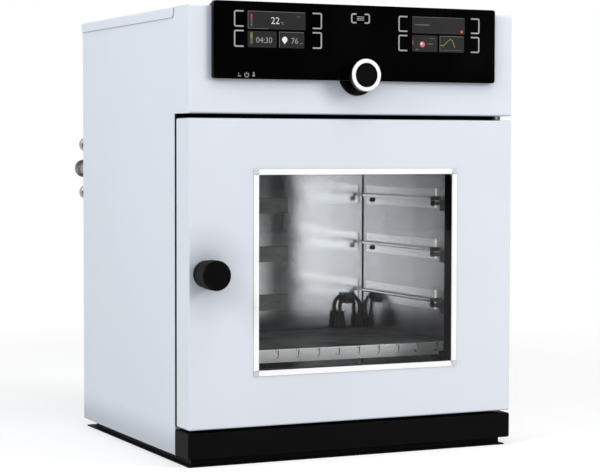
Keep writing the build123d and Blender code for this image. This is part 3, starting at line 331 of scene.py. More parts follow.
def paneFinish(name, look):
    # Clear glass; light that only passes by goes straight through
    material, tree, shader = startFinish(name)
    setPlain(shader, look)
    shader.inputs["Base Color"].default_value = look["tint"]
    grain = useGroup(tree, "surfaceGrain", (-700, 0), {"Grain Scale": 60.0, "Patch Scale": 5.0})
    feed(tree, rescale(tree, (-450, 0), grain["Patches"], 0.0, 1.0, look["rough"][0], look["rough"][1]),
         shader.inputs["Coat Roughness"])
    shader.inputs["Roughness"].default_value = 0.0
    clear = put(tree, "ShaderNodeBsdfTransparent", (0, -200))
    clear.inputs["Color"].default_value = look["shadow"]
    path = put(tree, "ShaderNodeLightPath", (-300, 500))
    passing = math2(tree, "MAXIMUM", (0, 400), path.outputs["Is Shadow Ray"], path.outputs["Is Diffuse Ray"])
    passing = math2(tree, "MAXIMUM", (150, 400), passing, path.outputs["Is Glossy Ray"])
    choose = put(tree, "ShaderNodeMixShader", (350, 200))
    feed(tree, passing, choose.inputs[0])
    feed(tree, shader.outputs[0], choose.inputs[1])
    feed(tree, clear.outputs[0], choose.inputs[2])
    feed(tree, choose.outputs[0], tree.nodes["Material Output"].inputs["Surface"])
    return material


def litFinish(name, tone):
    # A lit mark on the panel, a little uneven as a printed or backlit mark is
    material, tree, shader = startFinish(name)
    grain = useGroup(tree, "surfaceGrain", (-800, 0), {"Grain Scale": 1500.0, "Patch Scale": 60.0})
    dim = tuple(part * 0.8 for part in tone[:3]) + (1.0,)
    shown = mixColours(tree, (-500, 0), grain["Patches"], dim, tone)
    shader.inputs["Base Color"].default_value = colour(0.01, 0.01, 0.01)
    shader.inputs["Specular IOR Level"].default_value = 0.1
    feed(tree, shown, shader.inputs["Emission Color"])
    shader.inputs["Emission Strength"].default_value = 1.0
    feed(tree, rescale(tree, (-500, -200), grain["Height"], 0.0, 1.0, 0.35, 0.5), shader.inputs["Roughness"])
    return material


def boardFinish(name, look):
    # Circuit board: lacquer with copper tracks showing through
    material, tree, shader = startFinish(name)
    where = put(tree, "ShaderNodeTexCoord", (-1300, 0))
    turn = put(tree, "ShaderNodeMapping", (-1150, 0))
    turn.inputs["Rotation"].default_value = (math.pi / 2, 0.0, 0.0)
    feed(tree, where.outputs["Object"], turn.inputs["Vector"])
    tracks = put(tree, "ShaderNodeTexBrick", (-900, 100))
    tracks.inputs["Scale"].default_value = look["tracks"]
    tracks.inputs["Mortar Size"].default_value = 0.03
    tracks.inputs["Color1"].default_value = look["dark"]
    tracks.inputs["Color2"].default_value = look["light"]
    tracks.inputs["Mortar"].default_value = look["copper"]
    feed(tree, turn.outputs[0], tracks.inputs["Vector"])
    grain = useGroup(tree, "surfaceGrain", (-900, -250), {"Grain Scale": 500.0, "Patch Scale": 20.0})
    feed(tree, mixColours(tree, (-500, 200), math2(tree, "MULTIPLY", (-700, -50), grain["Patches"], 0.3),
                          tracks.outputs["Color"], look["dark"]), shader.inputs["Base Color"])
    feed(tree, rescale(tree, (-500, -100), grain["Patches"], 0.0, 1.0, 0.25, 0.45), shader.inputs["Roughness"])
    addBump(tree, shader, tracks.outputs["Fac"], look)
    return material


dustColour = colour(0.62, 0.61, 0.6)

deepBlack = {"light": colour(0.0016, 0.0016, 0.0018), "dark": colour(0.0009, 0.0009, 0.001)}

coatedLooks = {
    "cabinetPaint": {
        "light": colour(0.71, 0.745, 0.81), "dark": colour(0.68, 0.715, 0.78), "rough": (0.42, 0.52), "specular": 0.35,
        "grain": 700.0, "patch": 3.0, "bump": 0.25, "depth": 0.12, "speckle": 0.12,
        "worn": colour(0.84, 0.86, 0.9), "wear": 0.5, "wearRadius": 1.4, "dust": 0.05,
        # painted shade in crevices, such as under the panel and along the base
        "shade": colour(0.50, 0.53, 0.59), "reach": 60.0, "gain": 4.0},
    "blackPaint": {
        **deepBlack, "rough": (0.5, 0.62), "specular": 0.06,
        "grain": 800.0, "patch": 6.0, "bump": 0.35, "depth": 0.12,
        "worn": colour(0.012, 0.012, 0.012), "wear": 0.4, "wearRadius": 1.0, "dust": 0.008},
    "panelGloss": {
        **deepBlack, "rough": (0.08, 0.13), "specular": 0.2,
        "grain": 60.0, "patch": 7.0, "bump": 0.04, "depth": 0.1,
        "worn": colour(0.008, 0.008, 0.009), "wear": 0.3, "wearRadius": 0.6},
    "panelCase": {
        **deepBlack, "rough": (0.4, 0.52), "specular": 0.1,
        "grain": 1400.0, "patch": 9.0, "bump": 0.4, "depth": 0.1,
        "worn": colour(0.008, 0.008, 0.008), "wear": 0.35, "wearRadius": 0.8},
    "knobPlastic": {
        **deepBlack, "rough": (0.4, 0.52), "specular": 0.05,
        "grain": 1500.0, "patch": 25.0, "bump": 0.4, "depth": 0.1,
        "worn": colour(0.01, 0.01, 0.01), "wear": 0.5, "wearRadius": 1.0},
    "buttonPlastic": {
        "light": colour(0.006, 0.006, 0.0062), "dark": colour(0.003, 0.003, 0.0032), "rough": (0.4, 0.5), "specular": 0.1,
        "grain": 1500.0, "patch": 40.0, "bump": 0.3, "depth": 0.08},
    # painted shade for the gaps round the door and below the header
    "gapShadeBlack": {
        "light": colour(0.0022, 0.0022, 0.0024), "dark": colour(0.0012, 0.0012, 0.0013), "rough": (0.6, 0.75), "specular": 0.08,
        "grain": 900.0, "patch": 20.0, "bump": 0.4, "depth": 0.1},
    "cornerCap": {
        "light": colour(0.66, 0.68, 0.7), "dark": colour(0.6, 0.62, 0.64), "rough": (0.4, 0.5), "specular": 0.3,
        "grain": 1500.0, "patch": 30.0, "bump": 0.3, "depth": 0.08},
    "dialRingPlastic": {
        "light": colour(0.93, 0.93, 0.92), "dark": colour(0.86, 0.865, 0.87), "rough": (0.25, 0.34), "specular": 0.45,
        "grain": 900.0, "patch": 30.0, "bump": 0.08, "depth": 0.05, "speckle": 0.05,
        "worn": colour(0.8, 0.8, 0.8), "wear": 0.3, "wearRadius": 0.5,
        "sideTone": colour(0.002, 0.002, 0.002)},
    "windowTrim": {
        "light": colour(0.96, 0.965, 0.96), "dark": colour(0.91, 0.92, 0.92), "rough": (0.26, 0.36), "specular": 0.5,
        "grain": 1200.0, "patch": 12.0, "bump": 0.1, "depth": 0.05, "speckle": 0.05,
        "worn": colour(0.97, 0.97, 0.97), "wear": 0.4, "wearRadius": 0.8},
    "silicone": {
        "light": colour(0.30, 0.09, 0.05), "dark": colour(0.22, 0.06, 0.035), "rough": (0.5, 0.66), "specular": 0.3,
        "grain": 500.0, "patch": 14.0, "bump": 0.3, "depth": 0.15, "speckle": 0.2, "sheen": 0.15},
    "mineralWool": {
        "light": colour(0.66, 0.58, 0.33), "dark": colour(0.42, 0.36, 0.2), "rough": (0.9, 1.0), "specular": 0.05,
        "grain": 260.0, "patch": 20.0, "bump": 1.0, "depth": 1.2, "stretch": (1.0, 1.0, 3.5), "speckle": 0.6, "sheen": 0.2},
    # painted shade for the small gap at each inner trim corner
    "gapShadeGrey": {
        "light": colour(0.17, 0.172, 0.175), "dark": colour(0.12, 0.122, 0.125), "rough": (0.4, 0.52), "specular": 0.35,
        "grain": 1500.0, "patch": 22.0, "bump": 0.35, "depth": 0.1,
        "worn": colour(0.3, 0.3, 0.3), "wear": 0.4, "wearRadius": 0.6},
    "socketCeramic": {
        "light": colour(0.36, 0.36, 0.362), "dark": colour(0.27, 0.27, 0.272), "rough": (0.38, 0.55), "specular": 0.4,
        "grain": 1100.0, "patch": 26.0, "bump": 0.4, "depth": 0.12,
        "worn": colour(0.3, 0.3, 0.3), "wear": 0.5, "wearRadius": 0.8},
    "sleeveRubber": {
        "light": colour(0.02, 0.02, 0.021), "dark": colour(0.011, 0.011, 0.012), "rough": (0.4, 0.55), "specular": 0.35,
        "grain": 1300.0, "patch": 50.0, "bump": 0.5, "depth": 0.12,
        "worn": colour(0.07, 0.07, 0.07), "wear": 0.4, "wearRadius": 0.8},
    "screenGlass": {
        "light": colour(0.0075, 0.0075, 0.008), "dark": colour(0.005, 0.005, 0.0055), "rough": (0.12, 0.2), "specular": 0.3,
        "grain": 60.0, "patch": 12.0, "bump": 0.03, "depth": 0.1},
}

brushedLooks = {
    # The lines run up and down the chamber's walls
    "chamberSteel": {
        "light": colour(0.69, 0.69, 0.715), "dark": colour(0.62, 0.62, 0.64), "rough": (0.15, 0.19), "lines": (500.0, 500.0, 4.0),
        "patch": 5.0, "stain": 0.2, "bump": 0.02, "depth": 0.02},
    "frontPlateSteel": {
        "light": colour(0.62, 0.62, 0.63), "dark": colour(0.48, 0.48, 0.49), "rough": (0.26, 0.36), "lines": (8.0, 700.0, 700.0),
        "patch": 6.0, "stain": 0.25, "bump": 0.08, "depth": 0.05},
    "shelfSteel": {
        "light": colour(0.86, 0.86, 0.88), "dark": colour(0.74, 0.74, 0.755), "rough": (0.42, 0.5), "lines": (700.0, 8.0, 700.0),
        "patch": 9.0, "stain": 0.2, "bump": 0.05, "depth": 0.04, "wear": 0.4, "wearRadius": 0.8,
        # painted shade: the shelf's top darkened nearly to black
        "topShade": colour(0.03, 0.0295, 0.0295), "topShadeAmount": 1.0, "metallic": 0.8, "edgeTone": colour(0.18, 0.18, 0.18)},
    "railSteel": {
        "light": colour(0.93, 0.93, 0.94), "dark": colour(0.85, 0.85, 0.86), "rough": (0.13, 0.17), "lines": (700.0, 10.0, 700.0),
        "patch": 12.0, "stain": 0.15, "bump": 0.02, "depth": 0.02, "wear": 0.6, "wearRadius": 0.6},
    "doorLinerSteel": {
        "light": colour(0.62, 0.62, 0.63), "dark": colour(0.5, 0.5, 0.51), "rough": (0.24, 0.34), "lines": (700.0, 700.0, 6.0),
        "patch": 6.0, "stain": 0.25, "bump": 0.08, "depth": 0.05},
    "turnedSteel": {
        "light": colour(0.40, 0.40, 0.405), "dark": colour(0.26, 0.26, 0.265), "rough": (0.3, 0.4), "lines": (300.0, 1500.0, 300.0),
        "patch": 30.0, "stain": 0.2, "bump": 0.12, "depth": 0.04, "wear": 0.6, "wearRadius": 0.5},
    "heatDarkSteel": {
        "light": colour(0.10, 0.098, 0.096), "dark": colour(0.03, 0.029, 0.029), "rough": (0.3, 0.45), "lines": (500.0, 500.0, 500.0),
        "patch": 40.0, "stain": 0.3, "bump": 0.2, "depth": 0.05, "wear": 0.8, "wearRadius": 0.6},
    "springSteel": {
        "light": colour(0.5, 0.5, 0.52), "dark": colour(0.32, 0.32, 0.34), "rough": (0.22, 0.34), "lines": (300.0, 900.0, 300.0),
        "patch": 30.0, "stain": 0.2, "bump": 0.1, "depth": 0.04, "wear": 0.4, "wearRadius": 0.4},
    "turnedBrass": {
        "light": colour(0.80, 0.60, 0.28), "dark": colour(0.58, 0.40, 0.16), "rough": (0.2, 0.34), "lines": (300.0, 1400.0, 300.0),
        "patch": 26.0, "stain": 0.4, "bump": 0.12, "depth": 0.05, "wear": 0.5, "wearRadius": 0.6},
}

platedLook = {"light": colour(0.64, 0.66, 0.68), "dark": colour(0.46, 0.48, 0.5), "rough": (0.3, 0.46), "crystals": 55.0,
              "bump": 0.08, "depth": 0.08}
paneLook = {"tint": colour(0.985, 0.995, 0.99), "shadow": colour(0.97, 0.975, 0.972), "transmission": 1.0, "ior": 1.05,
            "specular": 0.5, "coat": 0.35, "rough": (0.0, 0.03)}
boardLook = {"light": colour(0.03, 0.2, 0.07), "dark": colour(0.015, 0.12, 0.045), "copper": colour(0.3, 0.4, 0.12),
             "tracks": 60.0, "bump": 0.3, "depth": 0.05}

finishes = {name: coatedFinish(name, look) for name, look in coatedLooks.items()}
finishes.update({name: brushedFinish(name, look) for name, look in brushedLooks.items()})
finishes["zincPlate"] = platedFinish("zincPlate", platedLook)
finishes["clearPane"] = paneFinish("clearPane", paneLook)
finishes["circuitBoard"] = boardFinish("circuitBoard", boardLook)

markLooks = {
    "keyGrey": colour(0.42, 0.42, 0.43),
    "screenFigure": colour(0.72, 0.72, 0.73),
    "screenSoft": colour(0.12, 0.12, 0.125),
    "screenDim": colour(0.34, 0.34, 0.35),
    "screenTile": colour(0.0125, 0.0125, 0.0127),
    "screenBorder": colour(0.14, 0.14, 0.145),
    "barRed": colour(0.42, 0.07, 0.09),
    "barOlive": colour(0.30, 0.22, 0.04),
    "barGreen": colour(0.10, 0.22, 0.05),
    "markWhite": colour(0.85, 0.86, 0.87),
    "markPink": colour(0.72, 0.16, 0.22),
    "markOrange": colour(0.75, 0.12, 0.02),
    "graphLine": colour(0.24, 0.27, 0.06),
    "iconGrey": colour(0.30, 0.30, 0.31),
}
finishes.update({name: litFinish(name, tone) for name, tone in markLooks.items()})

nodeFinishes = {
    "cabinetPaint": ("outer_casing", "top_cover", "door_skin"),
    "blackPaint": ("base_frame", "front_plinth", "pane_frame"),
    "panelGloss": ("cockpit_glass",),
    "panelCase": ("cockpit_housing", "encoder_body", "mains_inlet"),
    "screenGlass": ("displays",),
    "knobPlastic": ("door_knob", "dial_body", "dial_cap"),
    "dialRingPlastic": ("dial_ring",),
    "windowTrim": ("window_trims",),
    "silicone": ("door_gasket",),
    "mineralWool": ("insulation", "door_insulation"),
    "buttonPlastic": ("power_button",),
    "socketCeramic": ("shelf_sockets", "shelf_plug"),
    "sleeveRubber": ("probe_sleeves",),
    "chamberSteel": ("chamber",),
    "frontPlateSteel": ("front_frame", "chamber_ribs", "strike_plate"),
    "shelfSteel": ("shelf_tray",),
    "railSteel": ("rails_left", "rails_right"),
    "doorLinerSteel": ("door_liner",),
    "turnedSteel": ("vacuum_port", "gas_port", "air_port", "port_pipes", "hinge_pins", "knob_shaft", "latch_bar", "dial_shaft"),
    "heatDarkSteel": ("rail_stops", "rail_screws", "probe_clip", "probe_lead", "shelf_heater"),
    "springSteel": ("pane_springs",),
    "turnedBrass": ("valves", "hinge_bushes", "latch_bush", "encoder_rotor"),
    "zincPlate": ("floor_plate", "rear_panel", "cover_screws", "chamber_supports", "electronics_tray", "power_supply",
                  "hinge_brackets"),
    "clearPane": ("outer_pane", "inner_pane"),
    "circuitBoard": ("control_board",),
}


def dressNodes():
    dressed = set()
    for finish, names in nodeFinishes.items():
        for name in names:
            for place in cadNodes[name].material_slots:
                place.material = finishes[finish]
            dressed.add(name)
    missing = sorted(set(cadNodes) - dressed)
    if missing:
        raise RuntimeError("no finish for " + ", ".join(missing))


dressNodes()
print("finishes ready:", len(finishes))


# Shapes that stand on the panel's glass; outlines are (x, z) in millimetres, seen from the front

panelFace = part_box("cockpit_glass")[0].y


def addPiece(name, mesh, finish, body):
    piece = bpy.data.objects.new(name, mesh)
    bpy.context.scene.collection.objects.link(piece)
    piece.data.materials.append(finishes[finish])
    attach(piece, body)
    return piece


def meshOf(name, corners, faces):
    mesh = bpy.data.meshes.new(name)
    mesh.from_pydata([Vector(corner) for corner in corners], [], faces)
    shape = bmesh.new()
    shape.from_mesh(mesh)
    bmesh.ops.recalc_face_normals(shape, faces=shape.faces)
    shape.to_mesh(mesh)
    shape.free()
    return mesh


def panelPlate(name, outline, rise, finish):
    # A flat plate; rise is its back and its front above the glass
    back, front = (panelFace - level * mm for level in rise)
    count = len(outline)
    corners = [(x * mm, back, z * mm) for x, z in outline] + [(x * mm, front, z * mm) for x, z in outline]
    faces = [list(range(count)), list(range(count, 2 * count))]
    faces += [[i, (i + 1) % count, count + (i + 1) % count, count + i] for i in range(count)]
    return addPiece(name, meshOf(name, corners, faces), finish, "housing")


def panelLine(name, path, width, rise, finish, closed=False):
    # A line of even width along a path, with mitred corners
    back, front = (panelFace - level * mm for level in rise)
    count = len(path)
    sides = []
    for i, point in enumerate(path):
        before = path[i - 1] if closed or i else point
        after = path[(i + 1) % count] if closed or i < count - 1 else point
        here = Vector(point)
        arrive = (here - Vector(before)).normalized() if before != point else (Vector(after) - here).normalized()
        leave = (Vector(after) - here).normalized() if after != point else arrive
        along = (arrive + leave).normalized()
        across = Vector((-along.y, along.x))
        reach = width / 2 / max(0.4, across.dot(Vector((-arrive.y, arrive.x))))
        sides.append((here + across * reach, here - across * reach))
    corners = []
    for left, right in sides:
        corners += [(left.x * mm, back, left.y * mm), (right.x * mm, back, right.y * mm),
                    (right.x * mm, front, right.y * mm), (left.x * mm, front, left.y * mm)]
    faces = []
    for i in range(count if closed else count - 1):
        a, b = 4 * i, 4 * ((i + 1) % count)
        faces += [[a + k, a + (k + 1) % 4, b + (k + 1) % 4, b + k] for k in range(4)]
    if not closed:
        faces += [[0, 1, 2, 3], [4 * count - 4, 4 * count - 3, 4 * count - 2, 4 * count - 1]]
    return addPiece(name, meshOf(name, corners, faces), finish, "housing")


def rounded(points, radius, closed=True):
    # The same outline with an arc at each corner
    result = []
    count = len(points)
    for i, point in enumerate(points):
        if not closed and i in (0, count - 1):
            result.append(point)
            continue
        here = Vector(point)
        back = (Vector(points[i - 1]) - here).normalized()
        ahead = (Vector(points[(i + 1) % count]) - here).normalized()
        for step in range(5):
            share = step / 4
            bend = here + back * radius * (1 - share) ** 2 + ahead * radius * share ** 2
            result.append((bend.x, bend.y))
    return result


def rectangle(left, right, low, high):
    return [(left, low), (right, low), (right, high), (left, high)]


def circle(x, z, radius, count=28):
    return [(x + radius * math.cos(2 * math.pi * i / count), z + radius * math.sin(2 * math.pi * i / count))
            for i in range(count)]


def panelText(name, words, x, z, height, rise, finish):
    text = bpy.data.curves.new(name, "FONT")
    text.body = words
    text.size = height * mm / 0.69
    text.extrude = (rise[1] - rise[0]) / 2 * mm
    text.align_x = "CENTER"
    text.align_y = "CENTER"
    piece = bpy.data.objects.new(name, text)
    bpy.context.scene.collection.objects.link(piece)
    piece.rotation_euler = (math.pi / 2, 0, 0)
    piece.location = (x * mm, panelFace - (rise[0] + rise[1]) / 2 * mm, z * mm)
    text.materials.append(finishes[finish])
    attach(piece, "housing")
    return piece


tileRise = (0.02, 0.08)
lineRise = (0.02, 0.14)
figureRise = (0.1, 0.18)

keyLook = {
    "stroke": 2.1, "corner": 2.4, "rows": ((649.0, 673.3), (619.6, 644.5)),
    "openRight": (-206.0, 67.0), "openLeft": (-62.7, 210.0), "length": 15.4,
}


def bracket(edge, way, low, high, length, stroke, corner):
    # A square bracket whose outside is at the edge; way is +1 where it opens to the right
    inner, outer, half = edge + way * length, edge + way * stroke / 2, stroke / 2
    return rounded([(inner, low + half), (outer, low + half), (outer, high - half), (inner, high - half)], corner, False)


def makeKeys(look):
    # Touch fields behind the glass, marked by square brackets beside the screens
    number = 0
    for low, high in look["rows"]:
        for way, edges in ((1, look["openRight"]), (-1, look["openLeft"])):
            for edge in edges:
                number += 1
                path = bracket(edge, way, low, high, look["length"], look["stroke"], look["corner"])
                panelLine("touchKey%d" % number, path, look["stroke"], lineRise, "keyGrey")


menuLook = {"left": -14.0, "right": 18.0, "low": 659.4, "high": 674.7, "arm": 9.0, "stroke": 2.2, "corner": 3.2,
            "bars": 3, "barStep": 2.4, "barReach": 6.0, "barWidth": 1.0}


def makeMenuKey(look):
    for name, edge, way in (("menuKeyLeft", look["left"], 1), ("menuKeyRight", look["right"], -1)):
        path = bracket(edge, way, look["low"], look["high"], look["arm"], look["stroke"], look["corner"])
        panelLine(name, path, look["stroke"], lineRise, "keyGrey")
    middle = (look["left"] + look["right"]) / 2
    level = (look["low"] + look["high"]) / 2
    reach = look["barReach"]
    for row in range(look["bars"]):
        z = level + (row - 1) * look["barStep"]
        panelLine("menuMark%d" % (row + 1), [(middle - reach, z), (middle + reach, z)], look["barWidth"], lineRise, "keyGrey")


def makeTile(name, left, right, low, high, bright=True):
    panelPlate(name, rounded(rectangle(left, right, low, high), 1.2), tileRise, "screenTile")
    if bright:
        path = [(left + 0.6, low + 0.5), (left + 0.6, high - 0.5), (right - 1.0, high - 0.5)]
        panelLine(name + "Rim", path, 0.9, lineRise, "screenBorder")


def makeBar(name, x, low, high, split, width, topFinish, footFinish):
    # A thermometer: coloured above the split, grey below, with a bulb at its foot
    panelLine(name + "Top", [(x, split), (x, high)], width, figureRise, topFinish)
    panelLine(name + "Foot", [(x, low + width), (x, split)], width, figureRise, footFinish)
    panelPlate(name + "Bulb", circle(x, low + width, width * 0.75, 16), figureRise, footFinish)


leftScreen = {"left": -184.0, "right": -90.0, "low": 619.5, "high": 673.0, "split": 645.5, "column": -135.3}


def makeLeftScreen(look):
    left, right, low, high = look["left"], look["right"], look["low"], look["high"]
    makeTile("leftTopTile", left, right, look["split"] + 1.2, high)
    makeTile("leftTimeTile", left, look["column"] - 2.0, low, look["split"] - 2.0, False)
    makeTile("leftPressureTile", look["column"] + 2.0, right - 2.0, low, look["split"] - 2.0)
    foot = look["split"] + 1.8
    panelLine("leftTopFoot", [(left + 0.6, foot), (left + 34.0, foot)], 0.8, lineRise, "screenBorder")
    makeBar("leftBar", left + 6.0, 649.5, 668.5, 659.0, 2.6, "barRed", "screenSoft")
    panelText("leftFigures", "22", -139.5, 659.0, 10.0, figureRise, "screenFigure")
    panelText("leftUnit", "°C", -128.0, 656.0, 3.6, figureRise, "screenDim")
    panelLine("leftArrow", [(-104.5, 667.5), (-101.8, 665.2), (-99.0, 667.5)], 0.9, figureRise, "screenSoft")
    makeBar("timeBar", left + 6.0, 623.5, 641.0, 633.0, 3.4, "barOlive", "screenSoft")
    panelPlate("timeBarTip", circle(left + 6.0, 640.0, 1.9, 14), figureRise, "barGreen")
    panelText("timeFigures", "04:30", -157.5, 630.0, 8.2, figureRise, "screenDim")
    panelPlate("pressureMark", circle(-124.0, 632.0, 4.3), figureRise, "markWhite")
    panelPlate("pressureMarkFoot", [(-127.0, 629.5), (-121.0, 629.5), (-124.0, 625.0)], figureRise, "markWhite")
    panelText("pressureFigures", "76", -107.8, 630.0, 8.2, figureRise, "screenDim")
    panelLine("pressureUnit", [(-99.5, 626.8), (-94.8, 626.8)], 1.6, figureRise, "screenSoft")


rightScreen = {"left": 91.0, "right": 183.5, "low": 619.5, "high": 673.0, "split": 646.5, "column": 137.0}


def makeRightScreen(look):
    left, right, low, high = look["left"], look["right"], look["low"], look["high"]
    makeTile("rightTopTile", left, right, look["split"] + 1.0, high, False)
    panelLine("rightTopRim", [(left + 0.6, high - 0.5), (right - 2.0, high - 0.5)], 0.7, lineRise, "screenSoft")
    makeTile("rightGasTile", left, look["column"] - 2.0, low, look["split"] - 2.0, False)
    makeTile("rightGraphTile", look["column"] + 2.0, right - 1.0, low, look["split"] - 2.0)
    panelLine("rightWords", [(96.0, 660.5), (121.0, 660.5)], 1.8, figureRise, "screenSoft")
    panelPlate("alarmDot", circle(178.2, 651.6, 2.2, 18), figureRise, "markOrange")
    panelPlate("gasMark", circle(108.8, 630.8, 4.4), figureRise, "markPink")
    panelPlate("gasMarkLight", circle(107.4, 631.8, 1.9, 16), (0.18, 0.2), "markWhite")
    panelLine("gasEdge", [(92.2, 630.0), (92.2, 637.0)], 1.2, figureRise, "barRed")
    panelLine("gasWords", [(117.5, 631.5), (126.5, 631.5)], 1.6, figureRise, "screenSoft")
    panelLine("gasFoot", [(97.0, 622.6), (101.5, 622.6)], 1.5, figureRise, "barGreen")
    panelLine("gasTop", [(121.0, 640.0), (130.5, 640.0)], 1.0, figureRise, "screenSoft")
    path = [(141.0, 630.5), (145.5, 629.0), (152.5, 635.5), (158.0, 639.8), (161.8, 637.5), (166.0, 627.0)]
    panelLine("graphCurve", path, 1.1, figureRise, "graphLine")
    panelLine("graphAxis", [(141.5, 622.5), (178.0, 622.5)], 0.6, figureRise, "screenSoft")


iconLook = {"x": -185.9, "z": 578.8, "ring": 4.15, "stroke": 1.15, "side": 11.5}


def makeIcons(look):
    # Power sign round the push button, with a small sign on each side
    ringWidth = look["stroke"]
    buttonFace = (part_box("power_button")[0].y - panelFace) / -mm
    rise = (buttonFace + 0.02, buttonFace + 0.1)
    x, z, side = look["x"], look["z"], look["side"]
    arc = [(x + look["ring"] * 0.78 * math.sin(angle), z + look["ring"] * 0.78 * math.cos(angle))
           for angle in (0.65 + i * (2 * math.pi - 1.3) / 20 for i in range(21))]
    pieces = [panelLine("powerRing", arc, ringWidth, rise, "iconGrey"),
              panelLine("powerBar", [(x, z + 0.6), (x, z + look["ring"] * 0.95)], ringWidth, rise, "iconGrey")]
    for piece in pieces:
        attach(piece, "button")
    wave = [(x - side - 2.6 + i * 0.65, z - 1.8 + 0.8 * math.sin(i * 1.4)) for i in range(9)]
    panelLine("heatWave", wave, 0.9, lineRise, "iconGrey")
    panelLine("heatBar", [(x - side - 1.2, z + 0.6), (x - side - 1.2, z + 3.2)], 0.9, lineRise, "iconGrey")
    panelPlate("lockBody", rectangle(x + side - 1.8, x + side + 1.8, z - 2.4, z + 0.8), lineRise, "iconGrey")
    panelPlate("lockHead", circle(x + side, z + 3.0, 1.4, 14), lineRise, "iconGrey")


makeKeys(keyLook)
makeMenuKey(menuLook)
makeLeftScreen(leftScreen)
makeRightScreen(rightScreen)
makeIcons(iconLook)
print("panel marks ready")


# Small details, metal ones and pieces of painted shade, placed where the solids they belong to are

def looseParts(name):
    # Lowest and highest corner of each separate solid of a node
    shape = bmesh.new()
    shape.from_mesh(cadNodes[name].data)
    bmesh.ops.remove_doubles(shape, verts=shape.verts, dist=0.00001)
    waiting = set(shape.verts)
    boxes = []
    while waiting:
        group, edge = [], [waiting.pop()]
        while edge:
            corner = edge.pop()
            group.append(corner.co.copy())
            for link in corner.link_edges:
                other = link.other_vert(corner)
                if other in waiting:
                    waiting.remove(other)
                    edge.append(other)
        boxes.append((Vector([min(point[k] for point in group) for k in range(3)]),
                      Vector([max(point[k] for point in group) for k in range(3)])))
    shape.free()
    return sorted(boxes, key=lambda box: (round(box[0].z, 3), round(box[0].x, 3)))


def loftInto(corners, faces, rings, capStart=True, capEnd=False):
    # Joins rings of points one after the other, and closes the ends that are asked for
    start, around = len(corners), len(rings[0])
    for ring in rings:
        corners += ring
    last = (len(rings) - 1) * around
    for level in range(0, last, around):
        for turn in range(around):
            a, b = start + level + turn, start + level + (turn + 1) % around
            faces.append([a, b, b + around, a + around])
    if capStart:
        faces.append([start + turn for turn in range(around)])
    if capEnd:
        faces.append([start + last + turn for turn in range(around)])


def turnPoints(around):
    return [(math.cos(2 * math.pi * turn / around), math.sin(2 * math.pi * turn / around)) for turn in range(around)]


def paintedCrossShade(corners, faces, middle, reach, width, depth):
    # Adds a flat black cross on the head of a screw that looks back, painted shade for its cross recess
    arms = [(-reach, -width), (-width, -width), (-width, -reach), (width, -reach), (width, -width), (reach, -width),
            (reach, width), (width, width), (width, reach), (-width, reach), (-width, width), (-reach, width)]
    rings = [[(middle.x + x, middle.y + level, middle.z + z) for x, z in arms] for level in (0.0, depth)]
    loftInto(corners, faces, rings, True, True)


crossLook = {"reach": 1.3, "width": 0.3, "depth": 0.1, "sink": 0.05}


def makeScrewRecessShade(look):
    corners, faces = [], []
    # painted shade: a black cross on each cover screw stands for its shaded recess
    for low, high in looseParts("cover_screws"):
        middle = Vector(((low.x + high.x) / 2, high.y - look["sink"] * mm, (low.z + high.z) / 2))
        paintedCrossShade(corners, faces, middle, look["reach"] * mm, look["width"] * mm, look["depth"] * mm)
    addPiece("screwRecessShade", meshOf("screwRecessShade", corners, faces), "blackPaint", "housing")


hookLook = {"pitch": 35.0, "shift": 0.8, "count": 11, "radius": 1.5, "proud": 0.7, "drop": 2.2, "around": 12,
            "profile": ((1.0, 0.0), (0.92, 0.5), (0.6, 0.86), (0.0, 1.0))}  # size and height, as shares


def makeHookPins(look):
    # The bright rolled end at the top of each hook in the shelf's front lip
    low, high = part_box("shelf_tray")
    corners, faces = [], []
    radius, proud = look["radius"] * mm, look["proud"] * mm
    z = high.z - look["drop"] * mm
    for step in range(look["count"]):
        x = ((step - (look["count"] - 1) / 2) * look["pitch"] + look["shift"]) * mm
        loftInto(corners, faces, [[(x + radius * size * across, low.y + 0.0001 - proud * rise, z + radius * size * up)
                                   for across, up in turnPoints(look["around"])] for size, rise in look["profile"]])
    mesh = meshOf("hookPins", corners, faces)
    for face in mesh.polygons:
        face.use_smooth = True
    addPiece("hookPins", mesh, "railSteel", "housing")


def blockInto(corners, faces, low, high):
    # Adds a block to a piece that is built of several
    start = len(corners)
    corners += [(x, y, z) for z in (low[2], high[2]) for x, y in
                ((low[0], low[1]), (high[0], low[1]), (high[0], high[1]), (low[0], high[1]))]
    faces += [[start + i for i in face] for face in
              ((0, 1, 2, 3), (4, 5, 6, 7), (0, 1, 5, 4), (1, 2, 6, 5), (2, 3, 7, 6), (3, 0, 4, 7))]


def bevelled(piece, width):
    # Rounds every edge of a piece a little
    soft = piece.modifiers.new("soft", "BEVEL")
    soft.width = width * mm
    soft.segments = 2


railLook = {"half": 16.0, "holeInset": 23.0, "holeDrop": 8.0, "radius": 3.1, "proud": 5.0, "capReach": 10.0, "capHalf": 3.2,
            "cap": 0.5, "sheet": 1.5, "levels": 4, "around": 16,
            "profile": ((1.25, 0.0), (1.25, 0.5), (1.0, 0.85), (0.45, 1.0), (0.4, 0.55))}


